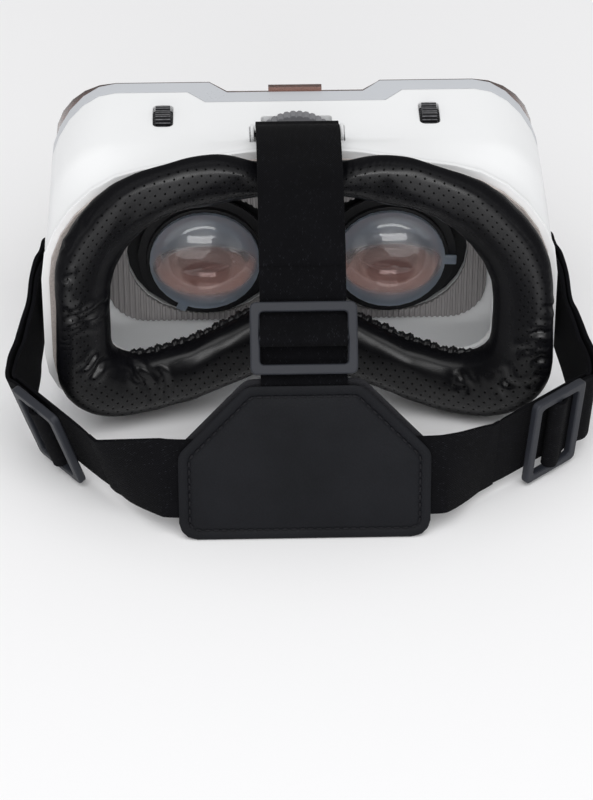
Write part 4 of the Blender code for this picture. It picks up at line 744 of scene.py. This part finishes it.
def cushionSection(edges, line, index, look):
    # one slice of the ring as evenly spaced points, starting at its back
    here = line[index]
    along = (line[(index + 1) % len(line)] - line[index - 1]).normalized()
    face = Vector((0.0, -1.0, 0.0))
    face = (face - along * face.dot(along)).normalized()
    out = along.cross(face).normalized()
    cut = [point for point in sliceRing(edges, here, along) if (point - here).length < look["reach"]]
    reaches, heights = measure(cut, here, out, face)
    middle = here + out * halfway(reaches) + face * halfway(heights)
    cut.sort(key=lambda point: math.atan2((point - middle).dot(out), (point - middle).dot(face)))
    low, high = (cut[0] - middle).dot(out), (cut[-1] - middle).dot(out)
    slim = [cut[0].lerp(cut[-1], low / (low - high))]
    for point in cut:
        if (point - slim[-1]).length > look["apart"]:
            slim.append(point)
    points, around = evenly(slim, look["points"], closed=True)
    return points, around, face, out


def faceAngle(point):
    # where a point lies round the face, in degrees
    across, up = cushionLook["middle"]
    return math.degrees(math.atan2(point.z - up, point.x - across)) % 360


def pullsRound(line, look):
    # outer and inner pull at each slice, smoothed from the table's rows
    pulls = []
    rows = look["pulls"]
    for here in line:
        angle = faceAngle(here)
        index = max(row for row in range(len(rows) - 1) if rows[row][0] <= angle)
        share = (angle - rows[index][0]) / (rows[index + 1][0] - rows[index][0])
        pulls.append(Vector(rows[index][1:]).lerp(Vector(rows[index + 1][1:]), share) / 1000)
    return evenOut(pulls, look["pullEvening"])


def soften(value):
    value = min(max(value, 0.0), 1.0)
    return value * value * (3 - 2 * value)


def pulled(points, here, face, out, pull, look):
    # a slice of the ring with its two edges moved along the face, its glued back less than its front
    reaches, heights = measure(points, here, out, face)
    low, high = min(reaches), max(reaches)
    moved = []
    for point, reach, height in zip(points, reaches, heights):
        share = soften((reach - low) / (high - low))
        lifted = soften((height - min(heights)) / (max(heights) - min(heights)) / look["free"])
        shift = pull[1] + (pull[0] - pull[1]) * share
        follow = look["glued"] + (1 - look["glued"]) * lifted if shift > 0 else 1.0
        moved.append(point + out * shift * follow)
    return moved


def crownSpot(points, here, face, out, look):
    # place of the crown, counted in points: a little outside the middle, on the wearer's side
    reaches, heights = measure(points, here, out, face)
    aim = min(reaches) + (max(reaches) - min(reaches)) * look["crown"]
    for spot in range(len(points)):
        after = (spot + 1) % len(points)
        if heights[spot] > halfway(heights) and (reaches[spot] - aim) * (reaches[after] - aim) <= 0:
            return spot + (aim - reaches[spot]) / (reaches[after] - reaches[spot])
    return len(points) / 2


def addCushion(name, pieceName, look):
    shape = welded(name)
    edges = [(edge.verts[0].co.copy(), edge.verts[1].co.copy()) for edge in shape.edges]
    shape.free()
    line, length = cushionLine(edges, look)
    bpy.ops.mesh.primitive_torus_add(major_segments=look["stations"], minor_segments=look["points"])
    piece = newPiece(pieceName)
    verts = piece.data.vertices
    runs, lean = [0.0] * len(verts), [0.0] * len(verts)
    pins = piece.vertex_groups.new(name="glued")
    flat = {}
    pulls = pullsRound(line, look)
    for index in range(look["stations"]):
        points, around, face, out = cushionSection(edges, line, index, look)
        points = pulled(points, line[index], face, out, pulls[index], look)
        heights = [(point - line[index]).dot(face) for point in points]
        crown = crownSpot(points, line[index], face, out, look)
        for spot, point in enumerate(points):
            vert = verts[index * look["points"] + spot]
            vert.co = point
            step = around / look["points"]
            spread = (spot - crown) * step  # along the leather, outwards from the crown
            flat[vert.index] = (line[index].x + out.x * spread, line[index].z + out.z * spread)
            runs[vert.index] = length * index / look["stations"]
            lean[vert.index] = spread
            if heights[spot] < min(heights) + look["pinned"]:
                pins.add([vert.index], 1.0, 'REPLACE')
    for label, values in (("ringRun", runs), ("fromCrown", lean)):
        piece.data.attributes.new(label, 'FLOAT', 'POINT').data.foreach_set("value", values)
    layFlat(piece, flat)
    faceOutwards(piece)
    return piece


def inflate(piece, look, pinGroup):
    # the leather settles over its filling
    before = [vert.co.copy() for vert in piece.data.vertices]
    cloth = piece.modifiers.new("stuffing", 'CLOTH')
    for key, value in look["cloth"].items():
        setattr(cloth.settings, key, value)
    cloth.settings.vertex_group_mass = pinGroup
    cloth.settings.effector_weights.gravity = 0.0
    cloth.collision_settings.use_collision = False
    cloth.point_cache.frame_start = 1
    cloth.point_cache.frame_end = look["frames"]
    for step in range(1, look["frames"] + 1):
        bpy.context.scene.frame_set(step)
    pickOnly(piece)
    bpy.ops.object.modifier_apply(modifier=cloth.name)
    bpy.context.scene.frame_set(1)
    for vert, start in zip(piece.data.vertices, before):
        moved = vert.co - start
        if moved.length > look["cap"]:
            vert.co = start + moved * (look["cap"] / moved.length)
    addModifier(piece, 'SMOOTH', factor=0.5, iterations=look["evened"])


def inPhoto(point):
    # where the camera sees a point, in pixels of the photo
    wide, tall = cameraPlace["frame"]
    seen = cameraTurn.to_matrix().transposed() @ (point - Vector(cameraPlace["spot"]))
    scale = cameraPlace["lens"] / cameraPlace["sensor"] * tall
    return Vector((wide / 2 - scale * seen.x / seen.z, tall / 2 + scale * seen.y / seen.z))


# a fold's valley, the two banks beside it, how far it wanders and how it fades out at its ends
creaseLook = {"valley": 0.0011, "bank": 0.0028, "bankWidth": 0.0014, "bankShare": 0.55, "wander": 0.0006,
              "waves": 7, "fade": 0.6, "seen": 0.15, "facing": 0.2}


def addCreases(piece, creases, look):
    # folds pressed into the leather, drawn on its flat cut
    layer = piece.data.uv_layers["flatCut"]
    spots = {loop.vertex_index: layer.data[loop.index].uv.copy() for loop in piece.data.loops}
    normals = [vert.normal.copy() for vert in piece.data.vertices]
    front = [(inPhoto(vert.co), spots[vert.index]) for vert in piece.data.vertices
             if vert.normal.y < look["seen"]]
    folds = []
    for startX, startY, endX, endY, depth in creases:
        ends = [min(front, key=lambda pair: (pair[0] - end).length_squared)[1]
                for end in (Vector((startX, startY)), Vector((endX, endY)))]
        folds.append((*ends, depth / 1000))
    for vert in piece.data.vertices:
        if normals[vert.index].y > look["facing"]:
            continue
        rise = 0.0
        for start, end, depth in folds:
            run = end - start
            share = (spots[vert.index] - start).dot(run) / run.length_squared
            if not 0.0 < share < 1.0:
                continue
            bend = math.sin(share * look["waves"] + start.x * 1000) * look["wander"]
            across = Vector((-run.y, run.x)).normalized()
            side = abs((spots[vert.index] - start - run * share).dot(across) - bend)
            fade = math.sin(math.pi * share) ** look["fade"] * depth
            bank = look["bankShare"] * math.exp(-((side - look["bank"]) / look["bankWidth"]) ** 2)
            rise += fade * (bank - math.exp(-(side / look["valley"]) ** 2))
        vert.co += normals[vert.index] * rise


ruffleLook = {"pitch": 0.0033, "radius": 0.0021, "around": 16, "perPleat": 8, "evening": 4, "least": 0.40,
              "sink": 0.35, "ends": 10, "up": (0.0, -0.1, 1.0), "inner": 0.25, "plump": 0.55,
              "swell": 0.16, "uneven": 0.10, "spans": ((213, 254), (286, 327))}


def addRuffle(piece, pieceName, span, look):
    # gathered hem along the lower inner edge, pleat after pleat
    edge = []
    for index in range(cushionLook["stations"]):
        first = index * cushionLook["points"]
        section = [piece.data.vertices[first + spot].co for spot in range(cushionLook["points"])]
        if span[0] < faceAngle(sum(section, Vector()) / len(section)) < span[1]:
            edge.append(max(section, key=lambda point: point.z + point.y * look["inner"]).copy())
    for _ in range(look["evening"]):
        edge = [edge[0]] + [(edge[spot - 1] + edge[spot] * 2 + edge[spot + 1]) / 4
                            for spot in range(1, len(edge) - 1)] + [edge[-1]]
    _, length = evenly(edge, 2)
    pleats = round(length / look["pitch"])
    steps = pleats * look["perPleat"]
    path, _ = evenly(edge, steps + 1)
    bpy.ops.mesh.primitive_grid_add(x_subdivisions=steps, y_subdivisions=look["around"], size=1.0)
    ruffle = newPiece(pieceName)
    spots = {}
    for vert in ruffle.data.vertices:
        step = round((vert.co.x + 0.5) * steps)
        turn = 2 * math.pi * (vert.co.y + 0.5)
        along = (path[min(step + 2, steps)] - path[max(step - 2, 0)]).normalized()
        up = Vector(look["up"])
        up = (up - along * along.dot(up)).normalized()
        across = along.cross(up)
        pleat = abs(math.sin(math.pi * step / look["perPleat"] + turn * 0.5)) ** look["plump"]
        odd = (1.0 + look["swell"] * math.sin(step * 0.31 + span[0])
               + look["uneven"] * math.sin(step * 0.083 * span[1]))
        taper = min(1.0, step / look["ends"], (steps - step) / look["ends"]) ** 0.5
        reach = look["radius"] * taper * (look["least"] + (1 - look["least"]) * pleat) * odd
        spoke = up * math.cos(turn) + across * math.sin(turn)
        vert.co = path[step] - up * look["radius"] * look["sink"] + spoke * reach
        spots[vert.index] = (length * step / steps, turn * look["radius"])
    layFlat(ruffle, spots)
    faceOutwards(ruffle, merge=weldGap)
    bpy.ops.object.shade_smooth()
    dress(ruffle, finishes["pleats"])
    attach(ruffle, "headset")


cushion = addCushion("face_cushion", "faceCushionCover", cushionLook)
print("cushion ring laid out:", len(cushion.data.vertices), "points")
inflate(cushion, cushionLook, "glued")
for side, span in zip(("left", "right"), ruffleLook["spans"]):
    addRuffle(cushion, side + "Ruffle", span, ruffleLook)
addModifier(cushion, 'SUBSURF', levels=1, render_levels=1)
addCreases(cushion, cushionLook["creases"], creaseLook)
pickOnly(cushion)
bpy.ops.object.shade_smooth()
dress(cushion, finishes["black_leather"])
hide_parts("face_cushion")
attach(cushion, "headset")
print("cushion stuffed")


# moulding tabs at the lens rims

lensTab = {"size": (0.0052, 0.0012, 0.0038), "depth": -0.02025, "round": 0.0005,
           "left": (0.0204, 246.0), "right": (0.0219, -2.0)}  # how far out from the axis, and where round it


def addLensTab(side, look):
    low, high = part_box(side + "_lens")
    bpy.ops.mesh.primitive_cube_add(size=1.0)
    tab = newPiece(side + "LensTab")
    editAll(tab)
    bpy.ops.transform.resize(value=look["size"])
    bpy.ops.transform.translate(value=(look[side][0], 0.0, 0.0))
    bpy.ops.object.mode_set(mode='OBJECT')
    addModifier(tab, 'BEVEL', width=look["round"], segments=3)
    turn = Matrix.Rotation(math.radians(-look[side][1]), 4, 'Y')
    middle = Vector(((low.x + high.x) / 2, look["depth"], (low.z + high.z) / 2))
    tab.data.transform(Matrix.Translation(middle) @ turn)
    shadeSmooth(tab, 40)
    dress(tab, finishes[side + "_lens"])
    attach(tab, side + "_optics")


for side in ("left", "right"):
    addLensTab(side, lensTab)
print("lens tabs added")


# back pad

backPad = {
    "lean": math.radians(10.0), "wall": 0.0007, "tuck": 0.0004, "points": 200,
    # loop by loop from the rim to the middle: how far in, how far up
    "front": ((0.0003, 0.0003), (0.0005, 0.00015), (0.0023, 0.0), (0.00035, -0.0003), (0.0002, -0.0001),
              (0.0002, 0.0001), (0.00035, 0.0004), (0.0010, 0.0004), (0.0030, 0.0005), (0.0060, 0.0004),
              (0.0080, 0.0002)),
    "groove": 6,
    "back": ((0.0004, 0.0005), (0.0010, 0.0007), (0.0030, 0.0012), (0.0070, 0.0010), (0.0080, 0.0004)),
}


def hull(points):
    # outline of a set of flat points, counter-clockwise
    points = sorted(set(points))
    sides = []
    for run in (points, points[::-1]):
        side = []
        for point in run:
            while len(side) > 1 and ((side[-1][0] - side[-2][0]) * (point[1] - side[-2][1])
                                     - (side[-1][1] - side[-2][1]) * (point[0] - side[-2][0])) <= 0:
                side.pop()
            side.append(point)
        sides += side[:-1]
    return sides


def padMatrix():
    # from the pad lying flat to where it stands
    turn = Matrix.Rotation(math.pi / 2 - backPad["lean"], 4, 'X')
    flat = [turn.inverted() @ vert.co for vert in nodes["back_pad_core"].data.vertices]
    base = halfway([point.z for point in flat])
    return turn @ Matrix.Translation((0.0, 0.0, base))


def inwards(outline, middle, distance):
    # the outline again, moved in by a distance, point for point along lines from the middle
    walls = []
    for first, second in zip(outline, outline[1:] + outline[:1]):
        normal = Vector((second.y - first.y, first.x - second.x, 0.0)).normalized()
        walls.append((normal, (first - middle).dot(normal) - distance))
    loop = []
    for point in outline:
        aim = (point - middle).normalized()
        reach = min(gap / normal.dot(aim) for normal, gap in walls if normal.dot(aim) > 0.05)
        loop.append(middle + aim * reach)
    return loop


def addPadLayer(name, pieceName, steps, outward):
    turn = padMatrix()
    flat = [turn.inverted() @ vert.co for vert in nodes[name].data.vertices]
    outline = hull([(round(point.x * outward, 5), round(point.y, 5)) for point in flat])
    outline, _ = evenly([Vector((x, y, 0.0)) for x, y in outline], backPad["points"], closed=True)
    middle = sum(outline, Vector()) / len(outline)
    depths = [point.z * outward for point in flat]
    bpy.ops.mesh.primitive_circle_add(vertices=len(outline), fill_type='NGON')
    piece = newPiece(pieceName)
    for vert, point in zip(piece.data.vertices, inwards(outline, middle, backPad["tuck"])):
        vert.co = point + Vector((0.0, 0.0, min(depths)))
    editAll(piece)
    groove, inset, height = [], 0.0, min(depths) + backPad["wall"]
    for index, (reach, rise) in enumerate(((0.0, 0.0),) + steps):
        inset, height = inset + reach, height + rise
        loop = [point + Vector((0.0, 0.0, height)) for point in inwards(outline, middle, inset)]
        bpy.ops.mesh.extrude_region_move()
        shape = bmesh.from_edit_mesh(piece.data)
        top = next(face for face in shape.faces if face.select)
        for vert in top.verts:
            aim = Vector((vert.co.x, vert.co.y, 0.0)) - middle
            vert.co = min(loop, key=lambda point: (Vector((point.x, point.y, 0.0)) - middle).angle(aim))
        bmesh.update_edit_mesh(piece.data)
        if index == backPad["groove"]:
            groove = loop
    bpy.ops.mesh.poke()
    faceOutwards(piece)
    face = Matrix.Identity(4) if outward > 0 else Matrix.Rotation(math.pi, 4, 'Y')
    piece.data.transform(turn @ face)
    groove = [turn @ face @ point for point in groove]
    shadeSmooth(piece, 50)
    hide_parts(name)
    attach(piece, "headset")
    return piece, groove


padCover, grooveLine = addPadLayer("back_pad_cover", "backPadLeather", backPad["front"], 1)
dress(padCover, finishes["pad_leather"])
padLining, _ = addPadLayer("back_pad_lining", "backPadLining", backPad["back"], -1)
dress(padLining, finishes["foam_lining"])
print("back pad sewn up")

stitchLook = {"pitch": 0.0030, "length": 0.0018, "radius": 0.00042, "sides": 8, "round": 0.7, "proud": 0.6,
              "points": 600, "apart": 4}


def addStitches(line, pieceName, look):
    points, around = evenly(line, look["points"], closed=True)
    count = round(around / look["pitch"])
    out = padMatrix().to_3x3() @ Vector((0.0, 0.0, 1.0))
    bpy.ops.mesh.primitive_cylinder_add(vertices=look["sides"], radius=look["radius"], depth=look["length"])
    model = bpy.context.object
    addModifier(model, 'BEVEL', width=look["radius"] * look["round"], segments=2, limit_method='ANGLE')
    copies = []
    for number in range(count):
        index = int(number * len(points) / count)
        along = (points[(index + look["apart"]) % len(points)] - points[index - look["apart"]]).normalized()
        across = out.cross(along).normalized()
        spot = Matrix((across, out, along)).transposed().to_4x4()
        spot.translation = points[index] + out * look["radius"] * look["proud"]
        stitch = bpy.data.objects.new(pieceName + str(number), model.data.copy())
        stitch.data.transform(spot)
        bpy.context.scene.collection.objects.link(stitch)
        copies.append(stitch)
    bpy.data.objects.remove(model)
    pickOnly(copies[0])
    for stitch in copies:
        stitch.select_set(True)
    bpy.ops.object.join()
    piece = newPiece(pieceName)
    shadeSmooth(piece, 50)
    dress(piece, finishes["thread"])
    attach(piece, "headset")


addStitches(grooveLine, "padStitching", stitchLook)
print("stitches set")


# floor, light and camera

studio = {"floor": paint(246, 246, 247), "wide": 8.0, "drop": 0.0002, "world": 0.54}
lamps = {
    "frontSoftbox": {"power": 55.0, "size": (3.4, 2.4), "spot": (0.0, -1.6, 2.55), "aim": (0.0, 0.0, 0.0)},
    "cameraFill": {"power": 19.0, "size": (2.2, 0.42), "spot": (0.0, -2.4, 0.60), "aim": (0.0, 0.0, 0.05)},
}
bpy.ops.mesh.primitive_plane_add(size=studio["wide"], location=(0.0, 0.0, -studio["drop"]))
floor = bpy.context.object
floor.name = "floor"
floorFinish, tree, shader = newFinish("pale floor")
feed(tree, shader, {"Base Color": studio["floor"], "Roughness": 0.9, "Specular IOR Level": 0.0})
floor.data.materials.append(floorFinish)

world = bpy.data.worlds.new("studio")
bpy.context.scene.world = world
world.use_nodes = True
feed(world.node_tree, world.node_tree.nodes["Background"],
     {"Color": (1.0, 1.0, 1.0, 1.0), "Strength": studio["world"]})

for name, lamp in lamps.items():
    aim = Vector(lamp["spot"]) - Vector(lamp["aim"])
    turn = aim.to_track_quat('Z', 'Y').to_euler()
    bpy.ops.object.light_add(type='AREA', location=lamp["spot"], rotation=turn)
    light = bpy.context.object
    light.name = name
    light.data.shape = 'RECTANGLE'
    light.data.size, light.data.size_y = lamp["size"]
    light.data.energy = lamp["power"]

bpy.ops.object.camera_add(location=cameraPlace["spot"], rotation=cameraTurn)
camera = bpy.context.object
camera.data.sensor_fit = 'VERTICAL'
camera.data.sensor_height = cameraPlace["sensor"]
camera.data.lens = cameraPlace["lens"]
bpy.context.scene.camera = camera
bpy.context.scene.view_settings.view_transform = 'Standard'
print("studio set")
